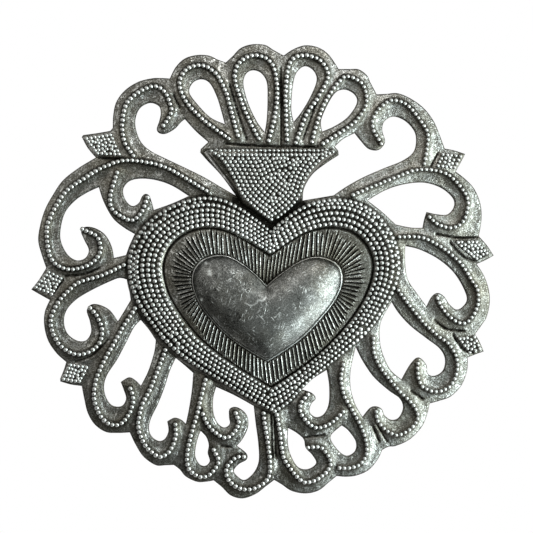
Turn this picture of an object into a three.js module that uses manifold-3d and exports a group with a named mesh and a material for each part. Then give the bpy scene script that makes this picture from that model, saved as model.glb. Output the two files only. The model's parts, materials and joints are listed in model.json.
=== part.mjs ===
// Metal sacred heart wall ornament: a pierced scroll sheet that carries a beaded heart border,
// a ring of chased rays, a smooth heart dome and a raised crown panel. A small strap and ring
// inside the crown's hollow hang it on the wall.
// Millimetres. The wall is the plane Y = 0, the front faces -Y and +Z is up.
// The origin is the middle of the round outline, on the wall.

import * as THREE from 'three';
import Module from 'manifold-3d';
import { mergeVertices } from 'three/addons/utils/BufferGeometryUtils.js';
import { ParametricGeometry } from 'three/addons/geometries/ParametricGeometry.js';

// Overall size. The pattern is drawn in squares that are counted right and down from its corner.
const OVERALL_WIDTH = 231.5;
const PATTERN_WIDTH = 463;
const PATTERN_MIDDLE_X = 266;
const PATTERN_MIDDLE_Y = 270;

// Sheets and seams.
const SHEET_THICKNESS = 1.2;
const PLATE_THICKNESS = 1;
const SEAM_GAP = 0.3;

// Ridges that are hammered up along the scrolls, and the raised leaf tips.
const RIDGE_WIDTH = 5.2;
const RIDGE_TOP = 0.9;
const RIDGE_RISE = 1.5;
const LEAF_RISE = 0.9;
const RAISED_ROOT = 0.6;

// Heart: rises are above the seat of each plate. Feet, laps and rooms are shares of the plate's width.
const BORDER_RISE = 3.2;
const BORDER_LIP_RISE = 1.9;
const BORDER_FOOT = 0.12;
const BORDER_LAP = 0.22;
const PLATE_ROOM = 0.03;
// The border's arch: shares of the way across it and of its rise there.
const BORDER_ARCH = [[0.3, 0.8], [0.55, 1], [0.78, 0.87]];
const RING_LAP = 0.12;
const RING_RISE = 1.3;
const RAY_COUNT = 104;
const RAY_DEPTH = 0.35;
const RAY_OUTER_END = 0.3;
const RAY_INNER_END = 0.92;
const DOME_LAP = 0.09;
const DOME_RISE = 7;
const DOME_FULLNESS = 1.8;
const DOME_ROWS = [0.1, 0.25, 0.45, 0.7];

// Crown panel: flange, wall and lap are shares of the way from its edge to its middle.
const CROWN_FLANGE = 0.06;
const CROWN_WALL = 0.08;
const CROWN_LAP = 0.15;
const CROWN_RISE = 3.7;

// Hanger: a strap with a barrel, and a ring of wire that turns in it.
const WIRE = 1.8;
const TURNING_CLEARANCE = 0.3;
const BARREL_WALL = 0.75;
const BARREL_LENGTH = 6;
const STRAP_WIDTH = 10;
const STRAP_HEIGHT = 9;
const STRAP_THICKNESS = 0.8;
const RING_SIDE_GAP = 0.5;
const RING_REACH_SHARE = 0.72;

// Fineness of the faceted curves.
const OUTLINE_STEPS = 2;
const RIDGE_STEPS = 1.5;
const HEART_STEPS = 64;
const CROWN_STEPS = 3;
const ROUND_STEPS = 16;
const WIRE_SIDES = 8;

// Levels above the wall, from the back to the front.
const FRONT = SHEET_THICKNESS;
const SEAT = FRONT + SEAM_GAP;
const LIP_UNDER = SEAT + BORDER_LIP_RISE;
const RING_EDGE_TOP = LIP_UNDER - SEAM_GAP;
const RING_INNER_TOP = RING_EDGE_TOP + RING_RISE;
const DOME_SEAT = RING_INNER_TOP + SEAM_GAP;
const CROWN_CEILING = SEAT + CROWN_RISE;
const STRAP_TOP = CROWN_CEILING - SEAM_GAP;
const STRAP_UNDER = STRAP_TOP - STRAP_THICKNESS;
const BORE_RADIUS = WIRE / 2 + TURNING_CLEARANCE;
const BARREL_RADIUS = BORE_RADIUS + BARREL_WALL;
const PIVOT_LEVEL = STRAP_UNDER + STRAP_THICKNESS / 2 - BARREL_RADIUS;

const SQUARE = OVERALL_WIDTH / PATTERN_WIDTH;
const place = ([right, down]) => new THREE.Vector2(
  (right - PATTERN_MIDDLE_X) * SQUARE,
  (PATTERN_MIDDLE_Y - down) * SQUARE,
);

// Outer edge, clockwise from the notch left of the flames. Each run goes to the next notch or tip.
const OUTER_EDGE = [
  // Four flames.
  [[170, 78.5], [176, 67], [185, 58.5], [197, 55], [209, 55.5], [218, 59.5], [226, 62.5]],
  [[233, 56], [241, 48], [252, 44.3], [265, 44.8], [274, 50], [284, 55.5]],
  [[293, 49.5], [305, 45.3], [318, 47.2], [329, 54.5], [339, 69]],
  [[349, 69], [359, 69.3], [367, 75], [371, 83], [377, 94.3]],
  // Right side: scrolls, with a leaf tip between the first ones.
  [[387, 93.8], [398, 93.2], [411, 98.5], [424, 108], [434, 121], [440, 135], [445, 148.5]],
  [[455, 150.5], [465.5, 154]],
  [[461, 162.5], [456, 171.5]],
  [[465, 178.5], [474, 188], [480, 201], [482, 214], [481, 226], [479, 236]],
  [[487, 245], [494, 255.5]],
  [[486, 260], [477, 264]],
  [[484, 275], [489, 289], [490, 303], [487, 317], [482, 325], [475.5, 334]],
  [[480, 342], [484, 351.5]],
  [[476, 354.3], [468, 357.5]],
  [[467.5, 370], [462, 385], [451, 396.5], [439, 401], [430, 403.5]],
  [[427.5, 414], [422, 427], [410, 439.5], [396, 446], [389, 446.7], [382.5, 450]],
  [[378, 459.5], [369, 470], [357, 475.5], [346, 476.8], [337, 476]],
  [[329, 482.5], [319, 490.5], [306, 493.5], [292, 491], [282, 484.5], [274.5, 480]],
  // Left side, from the foot up.
  [[266, 486.5], [256, 494], [243, 498.5], [231, 495.5], [222, 487], [214, 480.5]],
  [[206, 481.8], [197, 481.8], [186, 476.5], [180, 469.5], [174, 465]],
  [[166, 465.3], [156, 465.2], [144, 457], [136, 445], [130, 432.5]],
  [[118, 433], [106, 432], [95, 424.5], [88, 413], [84.5, 399], [82, 386]],
  [[71, 384.5], [60.5, 381.5]],
  [[60.5, 378.5]],
  [[64, 370], [66.5, 362]],
  [[57, 353.5], [48.5, 341], [44.5, 326], [45, 312], [50, 300]],
  [[41, 295], [31.5, 289.5]],
  [[39, 280], [46.5, 268]],
  [[42, 255], [38.5, 241], [40, 227], [45, 210], [53, 195], [63, 180.5], [78, 168.5], [96, 157.5]],
  [[88, 148], [82, 137]],
  [[83.5, 135]],
  [[98, 133], [110.5, 130.8]],
  [[113, 128]],
  [[113.5, 115], [116.5, 102], [125, 90.5], [138, 82], [152, 78.3], [162, 78], [170, 78.5]],
];

// Pierced openings, each from one of its corners back to it.
const OPENINGS = [
  // Four flame teardrops, from the lower tip.
  [[[225, 124], [211, 117.5], [198, 104.5], [189.5, 92], [193, 82.5], [201.5, 79], [210, 83],
    [217, 96.5], [221.5, 111], [225, 124]]],
  [[[265, 132], [257, 121], [248.5, 103], [243.7, 84], [246, 74], [252.5, 70], [261, 72.5],
    [267, 82], [267.8, 100], [267, 119], [265, 132]]],
  [[[294, 121.8], [291.7, 110], [292.5, 91], [296, 74], [304.5, 66], [313.5, 70], [317, 80],
    [311, 96], [302, 111.5], [294, 121.8]]],
  [[[322.5, 131.5], [321.5, 120], [329, 102.5], [337, 91.5], [346.5, 89.5], [355.5, 95],
    [357, 103.5], [348, 117], [335, 126], [322.5, 131.5]]],
  // Left of the crown, round the first volute.
  [[[185, 119], [196, 131], [208.5, 142]],
    [[201, 149]],
    [[200.5, 152.5]],
    [[208, 161], [219, 172.5], [228, 184], [236, 195.5]],
    [[222, 187.5], [205, 177.5], [188, 169], [168, 159.5], [152, 151.5], [142, 143], [136.5, 131],
      [135.5, 119], [140, 108], [150, 102.7], [159, 106], [161, 113], [159.5, 121], [157, 129],
      [159.5, 133], [166, 133.5], [175, 128.5], [181, 122], [185, 119]]],
  // Left lobe, between the second and third scrolls.
  [[[189, 196], [172, 203.5], [154, 210]],
    [[151.5, 201], [149, 195], [145, 194], [142, 197], [139, 203], [133, 206], [127, 202],
      [123.3, 194], [124, 187], [130, 180.8], [141, 178.5], [156, 180], [172, 185.5], [189, 196]]],
  // Inside the big left volute.
  [[[99, 187], [104, 202], [113, 218], [124, 227.5], [135, 234]],
    [[129.5, 246], [126.3, 255]],
    [[114, 258]],
    [[111.5, 246], [105, 234.5], [95, 228], [85.5, 226.8], [81.2, 231], [84.5, 240], [89, 250],
      [85.5, 258], [76.5, 260.3], [67.5, 254.5], [61, 242], [60.5, 229], [65, 212.5], [75, 200.5],
      [87, 192.5], [99, 187]]],
  // Left, inside the fourth volute.
  [[[127, 279.5], [129.5, 291], [131, 300]],
    [[124.5, 311], [118, 321.5]],
    [[110, 310.5], [100, 305], [91.5, 304.5], [87, 310.5], [90, 321], [91.3, 332], [86, 340.5],
      [76.5, 340.5], [67, 333], [63.8, 321], [67, 309.5], [77, 299], [93, 289.5], [111, 281],
      [120, 278], [127, 279.5]]],
  // Left, inside the fifth volute.
  [[[156, 340], [154.5, 352], [148.5, 371], [141, 386]],
    [[135.5, 380.5], [129, 377.5], [121, 382]],
    [[124, 390], [126.3, 399], [121.5, 406.3], [112, 405.5], [105.8, 397], [104, 386],
      [107.5, 374.5], [117, 360], [126, 343], [134, 327.5], [141, 320]],
    [[149, 329.5], [156, 340]]],
  // Left, inside the sixth volute.
  [[[176, 358], [185, 365.5], [193.5, 373]],
    [[192, 391], [189, 410], [186, 424]],
    [[181, 419.8], [174.5, 418], [167.5, 421.5]],
    [[168.7, 431], [165, 439], [159, 441.3], [152, 437], [149, 429], [151, 419], [158, 404.5],
      [164.5, 388], [170, 371], [176, 358]]],
  // Left, inside the seventh volute.
  [[[201, 431], [206.5, 437], [209, 445], [208, 453], [210, 461], [206, 466], [200, 464.8],
    [195.5, 457], [196, 447], [198.5, 437], [201, 431]]],
  // Left of the stem, inside the eighth and ninth volutes.
  [[[216.5, 387], [235, 395.5], [254, 406]],
    [[256, 424], [258.5, 443], [259, 461], [254, 473], [245, 480.3], [238, 477], [234, 471],
      [239, 464.3], [247, 459.5], [246.5, 453.5], [237, 446]],
    [[243.5, 438], [248.5, 426], [246.5, 414.5], [237.5, 407.5], [230, 409], [229.3, 417],
      [230, 424], [224.5, 427.8], [217.5, 423], [213.5, 412], [213.5, 398], [216.5, 387]]],
  // Right of the crown, round the first volute.
  [[[303, 200.5], [304.5, 188], [313, 174], [326, 163.5], [339, 155]],
    [[338.5, 150.5]],
    [[335, 146.5]],
    [[344, 138.5], [355, 133]],
    [[361, 140.5], [369, 148.7], [379, 149.8], [385.3, 142], [382.5, 130], [385, 121], [394, 116.3],
      [406, 121], [415, 131.5], [416.5, 143], [413, 153], [402, 161], [384, 168.3], [363, 177.5],
      [346, 187], [334, 195.3]],
    [[319, 197.8], [303, 200.5]]],
  // Right, inside the second volute.
  [[[368, 200.5], [385, 190.5], [404, 184.3], [424, 182.5], [441, 187.5], [453, 197.5],
    [454.5, 206.5], [448, 214.3], [437, 214.2], [427, 212]],
    [[424.8, 219], [423, 227.8]],
    [[411, 227.5], [396, 224.5]],
    [[382, 211.5], [368, 200.5]]],
  // Right, inside the fourth volute.
  [[[405.5, 246], [420, 249.5], [438, 258.5], [453, 271], [463, 286], [467.5, 299], [463, 307],
    [456.5, 309.5], [449.5, 304], [444.5, 296.5], [438, 293], [432, 297], [427, 306.5]],
    [[417, 293], [408, 279], [405.5, 263], [405.5, 246]]],
  // Right, inside the fifth volute.
  [[[392, 302], [399, 313], [411, 326], [427, 338.5], [440, 348.5], [445.5, 359], [443.5, 370.5],
    [435, 376], [428, 373.5], [426.5, 364.5], [419, 357.5], [411, 364], [402, 379.5]],
    [[391, 370], [383.5, 355], [380, 339], [381.5, 321], [392, 302]]],
  // Right, inside the sixth volute.
  [[[356, 347], [363, 361], [374, 377], [389, 390.5], [400, 398.5], [403.5, 408], [399, 418],
    [391.5, 420], [385, 415.5], [382, 409], [376, 406.5], [370, 408.5], [363, 417]],
    [[355.5, 404], [351, 388], [351, 370], [356, 347]]],
  // Right, inside the eighth volute.
  [[[302, 389.5], [313, 379], [327, 370]],
    [[329.5, 386], [329, 404], [324, 414.5], [316, 417.3], [310, 412], [311.5, 404], [316, 398.5],
      [312, 393], [302, 389.5]]],
  // Right, inside the seventh volute.
  [[[342, 425.5], [348.5, 430.5], [356, 441.5], [355.5, 451], [348, 456], [340.5, 452.5],
    [332.5, 442.5], [331.5, 435], [342, 425.5]]],
  // Right of the stem, inside the ninth volute.
  [[[288.5, 428], [297, 433], [304, 439.5], [306, 448], [312.5, 455], [316.5, 463.5], [308, 469.5],
    [298, 467], [290.5, 454], [288, 441], [288.5, 428]]],
];

// Ridge lines along the flames and scrolls. The bead rows run on them.
const RIDGES = [
  // Four flame loops.
  [[229, 139], [215, 129], [200, 117], [186, 101], [180, 86], [187, 70], [202, 66], [216, 74],
    [226, 92], [232, 113], [238, 137]],
  [[259, 139], [250, 122], [241, 100], [235, 78], [241, 62], [256, 56], [271, 63], [277, 83],
    [276, 111], [269, 141]],
  [[287, 140], [286, 114], [286, 88], [291, 63], [305, 56], [321, 62], [328, 76], [318, 98],
    [306, 116], [296, 143]],
  [[312, 142], [318, 120], [327, 99], [338, 82], [350, 77.5], [361, 83], [366, 99], [356, 121],
    [338, 134], [323, 144]],
  // Left scrolls, from the top down.
  [[134, 156], [125, 142], [123, 124], [128, 103], [144, 90], [161, 89], [171, 104], [170, 118],
    [164, 126]],
  [[207, 191], [185, 177], [157, 164.5], [128, 161], [103, 168], [77, 184], [58, 205], [49, 228],
    [51, 255], [67, 268.5], [88, 265], [100, 251], [97, 236], [87, 231]],
  [[118, 173], [111, 196], [122, 216.5], [136, 219], [145, 206], [146, 199]],
  [[124.5, 265], [103, 275], [77, 285], [60, 301], [52, 322], [60, 344], [79, 354], [98, 345],
    [102, 328], [92, 309]],
  [[136, 308], [116, 341], [99, 373], [95.5, 400], [106, 421], [121, 422.5], [132, 410], [131, 390]],
  [[166, 349.5], [156, 376], [143, 404], [140, 430], [149, 448], [162, 456], [173, 446], [176, 426]],
  [[206, 379], [200, 404], [190, 440], [189, 466], [203, 476], [215, 468], [218, 459], [214, 449]],
  [[202, 409], [209, 426], [222, 436], [234, 431], [239, 420], [236, 412.5]],
  [[264, 412.5], [268, 442], [270, 470], [258, 486], [239, 487], [227.5, 475], [233, 459], [243, 456.5]],
  // Right scrolls, from the top down.
  [[381, 144], [373, 127], [377, 110], [391, 101], [408, 106], [423, 124], [428, 146], [423, 165]],
  [[353, 195], [380, 183], [406, 173], [431, 170], [454, 181], [467, 201], [461, 223], [445, 228],
    [430, 219]],
  [[399, 237], [422, 238], [448, 252], [468, 275], [478, 298], [468, 321], [453, 320], [438, 301]],
  [[398, 290], [417, 315], [443, 339], [456, 358], [452, 382], [434, 391], [420, 384], [418, 366]],
  [[373, 338], [375, 356], [391, 381], [410, 401], [417, 417], [404, 433], [387, 431], [376, 413]],
  [[343, 364], [342, 386], [356, 416], [366, 444], [361, 462], [341, 467]],
  [[343, 411], [327, 424.5], [311, 425], [301, 411], [306, 396]],
  [[277, 414], [281, 438], [286, 461], [301, 480], [319, 478.5], [329.5, 464], [322, 449], [309, 447]],
];

// Raised leaf tips: the middle of each, its turn in degrees, its length and its width.
const LEAVES = [
  { middle: [101, 144.5], turn: 8, length: 26, width: 19 },
  { middle: [49.5, 284], turn: -7, length: 24, width: 16 },
  { middle: [77, 373], turn: -12, length: 22, width: 15 },
  { middle: [446.5, 160.5], turn: 166, length: 20, width: 15 },
  { middle: [471, 248.5], turn: 151, length: 26, width: 13 },
  { middle: [467.5, 344.5], turn: 138, length: 18, width: 13 },
];

// Heart lines from the cleft round the left lobe to the tip, then up the right lobe.
const BORDER_LINE = {
  left: [[271, 230], [257, 218.5], [240, 206.5], [222, 198], [203, 195.7], [184, 199.8], [165, 208.5],
    [147, 222], [134, 240], [127.5, 259], [127.5, 280], [135, 305], [150, 330], [170, 352],
    [197, 370.5], [226, 387.5], [252, 403], [272.5, 414.5]],
  right: [[272.5, 414.5], [289, 403], [304, 386], [326, 367], [350, 347.5], [370, 329.5], [385.5, 307],
    [397, 284], [400.5, 262], [395, 238], [381, 216.5], [362, 202.5], [340, 197.6], [318, 200],
    [300, 207.5], [284, 219], [271, 230]],
};
const RAY_LINE = {
  left: [[270.5, 255], [256, 246], [238, 236], [221, 229.3], [204, 228], [187, 232.7], [172, 244.5],
    [164.5, 260], [164, 275], [170, 296], [183, 317], [201, 338.5], [224, 357], [248, 373],
    [271.5, 387]],
  right: [[271.5, 387], [292, 374], [316, 356.5], [338, 335], [357, 311], [369, 288], [373.5, 266],
    [368, 247], [354, 232.5], [335, 227.2], [315, 229.5], [297, 237], [283, 246], [270.5, 255]],
};
const DOME_LINE = {
  left: [[267, 285.5], [256, 274.5], [243, 264], [230, 256.8], [217, 255.3], [203, 260], [194.3, 271],
    [193.3, 285], [200, 303], [213, 320.5], [230, 337], [249, 350], [268, 360.7]],
  right: [[268, 360.7], [286, 349.5], [304, 336], [320, 319], [334, 301], [341.5, 284], [340, 268.5],
    [330, 259.8], [315, 257], [300, 261.5], [285, 271], [275, 278.3], [267, 285.5]],
};
const DOME_MIDDLE = place([267, 310]);

// Edge of the crown panel, clockwise from its top left tab.
const CROWN_EDGE = [
  [[203.5, 152.5], [208, 149.7]],
  [[332, 149.7]],
  [[337, 153.5]],
  [[325, 162], [311, 176], [303, 190], [299.5, 203]],
  [[271, 224]],
  [[242, 204]],
  [[233, 190.5], [220, 173.5], [203.5, 152.5]],
];
const CROWN_MIDDLE = place([270, 178]);
const CROWN_TOP_SPAN = place([270, 149.5]).y - CROWN_MIDDLE.y;

const wasm = await Module();
wasm.setup();

// Welds a geometry's corners, drops folded triangles and makes it a solid.
function solid(geometry) {
  const bare = geometry.index ? geometry.toNonIndexed() : geometry.clone();
  bare.deleteAttribute('normal');
  bare.deleteAttribute('uv');
  const welded = mergeVertices(bare, 1e-4);
  const corners = welded.index.array;
  const triangles = [];
  for (let i = 0; i < corners.length; i += 3) {
    const [a, b, c] = [corners[i], corners[i + 1], corners[i + 2]];
    if (a !== b && b !== c && c !== a) triangles.push(a, b, c);
  }
  return new wasm.Manifold(new wasm.Mesh({
    numProp: 3,
    vertProperties: new Float32Array(welded.attributes.position.array),
    triVerts: new Uint32Array(triangles),
  }));
}

// Turns a solid that was drawn flat, facing the viewer, to face -Y, and names it.
function piece(name, body, colour, roughness, metalness) {
  const made = body.getMesh();
  const geometry = new THREE.BufferGeometry();
  geometry.setAttribute('position', new THREE.BufferAttribute(made.vertProperties, 3));
  geometry.setIndex(new THREE.BufferAttribute(made.triVerts, 1));
  geometry.rotateX(Math.PI / 2);
  geometry.computeVertexNormals();
  const material = new THREE.MeshStandardMaterial({ color: colour, roughness, metalness });
  const mesh = new THREE.Mesh(geometry, material);
  mesh.name = name;
  return mesh;
}

// Joins runs of points to one closed line: a smooth curve in each run, a corner between runs.
function outline(runs, steps) {
  const line = new THREE.Path();
  const start = place(runs[0][0]);
  line.moveTo(start.x, start.y);
  for (const [index, run] of runs.entries()) {
    const points = run.slice(index === 0 ? 1 : 0).map(place);
    if (points.length === 1) line.lineTo(points[0].x, points[0].y);
    if (points.length > 1) line.splineThru(points);
  }
  const points = line.getPoints(steps).slice(0, -1);
  return THREE.ShapeUtils.isClockWise(points) ? points.reverse() : points;
}

function flat(shape, from, to) {
  const geometry = new THREE.ExtrudeGeometry(shape, {
    depth: to - from,
    bevelEnabled: false,
  });
  geometry.translate(0, 0, from);
  return solid(geometry);
}

// A point of a heart line: 0 is the cleft, a half is the tip.
function heartLine({ left, right }) {
  const leftCurve = new THREE.SplineCurve(left.map(place));
  const rightCurve = new THREE.SplineCurve(right.map(place));
  return (along) => (along < 0.5 ? leftCurve.getPointAt(2 * along) : rightCurve.getPointAt(2 * along - 1));
}

const borderAt = heartLine(BORDER_LINE);
const rayAt = heartLine(RAY_LINE);
const domeAt = heartLine(DOME_LINE);
const acrossBorder = (along, share) => borderAt(along).lerp(rayAt(along), share);
const acrossRays = (along, share) => rayAt(along).lerp(domeAt(along), share);
const acrossDome = (along, share) => domeAt(along).lerp(DOME_MIDDLE, share);

// A closed band or shell that runs anticlockwise. The rows give its section, from the outer edge's
// foot up, inwards over the front and back along the underside.
function loft(steps, rows) {
  const last = rows.length - 1;
  return solid(new ParametricGeometry((along, across, target) => {
    const step = Math.round(along * steps) % steps;
    const { point, level } = rows[Math.round(across * last)](step / steps, step);
    target.set(point.x, point.y, level);
  }, steps, last));
}

const closedLine = (steps, pointAt) => {
  const points = [];
  for (let step = 0; step < steps; step += 1) points.push(pointAt(step / steps));
  return points;
};

const crownEdge = outline(CROWN_EDGE, CROWN_STEPS);
const acrossCrown = (share) => crownEdge.map((point) => point.clone().lerp(CROWN_MIDDLE, share));

// The scroll sheet: pierced, with a heart window and a crown window behind the raised plates.
function scrollSheet() {
  const shape = new THREE.Shape(outline(OUTER_EDGE, OUTLINE_STEPS));
  for (const opening of OPENINGS) shape.holes.push(new THREE.Path(outline(opening, OUTLINE_STEPS)));
  shape.holes.push(new THREE.Path(closedLine(HEART_STEPS, (along) => acrossBorder(along, BORDER_LAP))));
  shape.holes.push(new THREE.Path(acrossCrown(CROWN_LAP)));
  let body = flat(shape, 0, FRONT);

  const aboveAll = FRONT + DOME_RISE + CROWN_RISE;
  const borderRoom = new THREE.Shape(closedLine(HEART_STEPS, (along) => acrossBorder(along, -PLATE_ROOM)));
  const crownRoom = new THREE.Shape(acrossCrown(-PLATE_ROOM));
  const plates = flat(borderRoom, -FRONT, aboveAll).add(flat(crownRoom, -FRONT, aboveAll));

  const section = new THREE.Shape([
    new THREE.Vector2(RAISED_ROOT, -RIDGE_WIDTH / 2),
    new THREE.Vector2(RAISED_ROOT, RIDGE_WIDTH / 2),
    new THREE.Vector2(0, RIDGE_WIDTH / 2),
    new THREE.Vector2(-RIDGE_RISE, RIDGE_TOP / 2),
    new THREE.Vector2(-RIDGE_RISE, -RIDGE_TOP / 2),
    new THREE.Vector2(0, -RIDGE_WIDTH / 2),
  ]);
  for (const points of RIDGES) {
    const course = points.map(place).map(({ x, y }) => new THREE.Vector3(x, y, FRONT));
    const extrudePath = new THREE.CatmullRomCurve3(course);
    const steps = Math.round(points.length * RIDGE_STEPS);
    const ridge = solid(new THREE.ExtrudeGeometry(section, { steps, extrudePath }));
    body = body.add(ridge.subtract(plates));
  }

  for (const { middle, turn, length, width } of LEAVES) {
    const [long, wide] = [length * SQUARE, width * SQUARE];
    const bud = new THREE.Shape();
    bud.moveTo(-long / 2, 0);
    bud.quadraticCurveTo(-long / 4, wide / 2, long / 2, wide / 2);
    bud.lineTo(long / 2, -wide / 2);
    bud.quadraticCurveTo(-long / 4, -wide / 2, -long / 2, 0);
    const geometry = new THREE.ExtrudeGeometry(bud, {
      depth: RAISED_ROOT,
      bevelThickness: LEAF_RISE / 2,
      bevelSize: LEAF_RISE / 2,
      bevelOffset: -LEAF_RISE / 2,
      bevelSegments: 1,
      curveSegments: 4,
    });
    geometry.rotateZ(THREE.MathUtils.degToRad(-turn));
    const centre = place(middle);
    geometry.translate(centre.x, centre.y, FRONT + LEAF_RISE / 2 - RAISED_ROOT);
    body = body.add(solid(geometry));
  }
  return body;
}

// The border is a convex band. Its foot lies on the sheet and its inner lip on the ray ring.
function heartBorder() {
  const row = (share, level) => (along) => ({ point: acrossBorder(along, share), level });
  const arch = (lift) => BORDER_ARCH.map(([share, rise]) => row(share, SEAT + BORDER_RISE * rise + lift));
  return loft(HEART_STEPS, [
    row(0, SEAT),
    row(0, SEAT + PLATE_THICKNESS),
    row(BORDER_FOOT, SEAT + PLATE_THICKNESS),
    ...arch(PLATE_THICKNESS),
    row(1, LIP_UNDER + PLATE_THICKNESS),
    row(1, LIP_UNDER),
    row(1 - RING_LAP, LIP_UNDER),
    ...arch(0).reverse(),
    row(BORDER_FOOT, SEAT),
    row(0, SEAT),
  ]);
}

// The ray ring rises towards the dome. Every second step of its front is a chased line.
function rayRing() {
  const row = (share, depth) => (along, step) => ({
    point: acrossRays(along, share),
    level: RING_EDGE_TOP + RING_RISE * share - (step % 2) * depth,
  });
  const rim = (drop) => (along) => ({
    point: acrossBorder(along, 1 - RING_LAP),
    level: RING_EDGE_TOP - drop,
  });
  const seat = (drop) => (along) => ({
    point: acrossDome(along, DOME_LAP),
    level: RING_INNER_TOP - drop,
  });
  return loft(2 * RAY_COUNT, [
    rim(PLATE_THICKNESS),
    rim(0),
    row(0, 0),
    row(RAY_OUTER_END, RAY_DEPTH),
    row(RAY_INNER_END, RAY_DEPTH),
    row(1, 0),
    seat(0),
    seat(PLATE_THICKNESS),
    rim(PLATE_THICKNESS),
  ]);
}

// The dome is an open-backed shell that sits on the ray ring's inner lap. Its rise follows how deep
// a point lies inside the heart, as a smooth mean of its distances to the edge.
function heartDome() {
  const edge = closedLine(HEART_STEPS, domeAt);
  const depth = (point) => edge.reduce((sum, other) => sum + point.distanceTo(other) ** -3, 0) ** -0.5;
  const deepest = depth(DOME_MIDDLE);
  const rise = (point) => DOME_RISE * (1 - (1 - Math.min(depth(point) / deepest, 1)) ** DOME_FULLNESS);
  const row = (share, lift) => (along) => {
    const point = acrossDome(along, share);
    return { point, level: DOME_SEAT + lift + rise(point) };
  };
  const foot = (share, level) => (along) => ({ point: acrossDome(along, share), level });
  const shell = (lift) => [...DOME_ROWS, 1].map((share) => row(share, lift));
  return loft(HEART_STEPS, [
    foot(0, DOME_SEAT),
    foot(0, DOME_SEAT + PLATE_THICKNESS),
    ...shell(PLATE_THICKNESS),
    ...shell(0).reverse(),
    foot(DOME_LAP, DOME_SEAT),
    foot(0, DOME_SEAT),
  ]);
}

// The crown panel is a dished plate: flange, wall and flat front, open at the back.
function crownPanel() {
  const row = (share, level) => {
    const points = acrossCrown(share);
    return (along, step) => ({ point: points[step], level });
  };
  const top = CROWN_CEILING + PLATE_THICKNESS;
  const wallTop = CROWN_FLANGE + CROWN_WALL;
  return loft(crownEdge.length, [
    row(0, SEAT),
    row(0, SEAT + PLATE_THICKNESS),
    row(CROWN_FLANGE, SEAT + PLATE_THICKNESS),
    row(wallTop, top),
    row(1, top),
    row(1, CROWN_CEILING),
    row(wallTop + CROWN_WALL, CROWN_CEILING),
    row(CROWN_LAP, SEAT),
    row(0, SEAT),
  ]);
}

const rod = (radius, length) => new THREE.CylinderGeometry(radius, radius, length, ROUND_STEPS)
  .rotateZ(Math.PI / 2)
  .translate(CROWN_MIDDLE.x, CROWN_MIDDLE.y, PIVOT_LEVEL);

// The strap: a plate under the crown's ceiling, with a barrel across it.
function hangerStrap() {
  const plate = new THREE.BoxGeometry(STRAP_WIDTH, STRAP_HEIGHT, STRAP_THICKNESS);
  plate.translate(CROWN_MIDDLE.x, CROWN_MIDDLE.y, STRAP_UNDER + STRAP_THICKNESS / 2);
  const barrel = solid(rod(BARREL_RADIUS, BARREL_LENGTH));
  const bore = solid(rod(BORE_RADIUS, BARREL_LENGTH * 2));
  return solid(plate).add(barrel).subtract(bore);
}

// The ring: a straight bar through the barrel, closed by a bow that hangs down.
function hangerRing() {
  const half = BARREL_LENGTH / 2 + RING_SIDE_GAP + WIRE / 2;
  const reach = CROWN_TOP_SPAN * RING_REACH_SHARE - WIRE / 2;
  const leg = Math.max(reach - half, WIRE);
  const corners = WIRE_SIDES;
  const course = [new THREE.Vector3(-half, 0, 0), new THREE.Vector3(-half, -leg / 2, 0)];
  for (let i = 0; i <= corners; i += 1) {
    const angle = Math.PI * (1 + i / corners);
    course.push(new THREE.Vector3(half * Math.cos(angle), half * Math.sin(angle) - leg, 0));
  }
  course.push(new THREE.Vector3(half, -leg / 2, 0), new THREE.Vector3(half, 0, 0));
  const wire = new THREE.Shape().absarc(0, 0, WIRE / 2, 0, 2 * Math.PI);
  const bow = new THREE.ExtrudeGeometry(wire, {
    steps: 3 * WIRE_SIDES,
    extrudePath: new THREE.CatmullRomCurve3(course),
    curveSegments: WIRE_SIDES / 2,
  });
  bow.translate(CROWN_MIDDLE.x, CROWN_MIDDLE.y, PIVOT_LEVEL);
  const ends = [-half, half].map((x) => solid(new THREE.SphereGeometry(WIRE / 2, WIRE_SIDES, WIRE_SIDES)
    .translate(CROWN_MIDDLE.x + x, CROWN_MIDDLE.y, PIVOT_LEVEL)));
  return solid(bow).add(solid(rod(WIRE / 2, 2 * half))).add(ends[0]).add(ends[1]);
}

const ornament = new THREE.Group();
ornament.add(piece('scroll_sheet', scrollSheet(), 0x55564f, 0.5, 0.9));
ornament.add(piece('heart_border', heartBorder(), 0x4a4a45, 0.45, 0.9));
ornament.add(piece('ray_ring', rayRing(), 0x5b5c57, 0.45, 0.9));
ornament.add(piece('heart_dome', heartDome(), 0x6a6d68, 0.4, 0.9));
ornament.add(piece('crown_panel', crownPanel(), 0x4a4b47, 0.45, 0.9));
ornament.add(piece('hanger_strap', hangerStrap(), 0x5a5a55, 0.5, 0.9));
ornament.add(piece('hanger_ring', hangerRing(), 0x77776f, 0.4, 0.9));

export default ornament;
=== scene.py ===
"""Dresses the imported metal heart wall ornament: a hammered scroll sheet with bead rows, a beaded
heart border, a chased ray ring, a burnished dome, a beaded crown panel and the hanger behind it."""

import json
import math
import random

import bmesh
import bpy
import numpy as np
from bpy.props import FloatProperty, FloatVectorProperty, IntProperty, PointerProperty
from mathutils import Matrix, Vector
from mathutils.geometry import delaunay_2d_cdt
from mathutils.kdtree import KDTree


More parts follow.
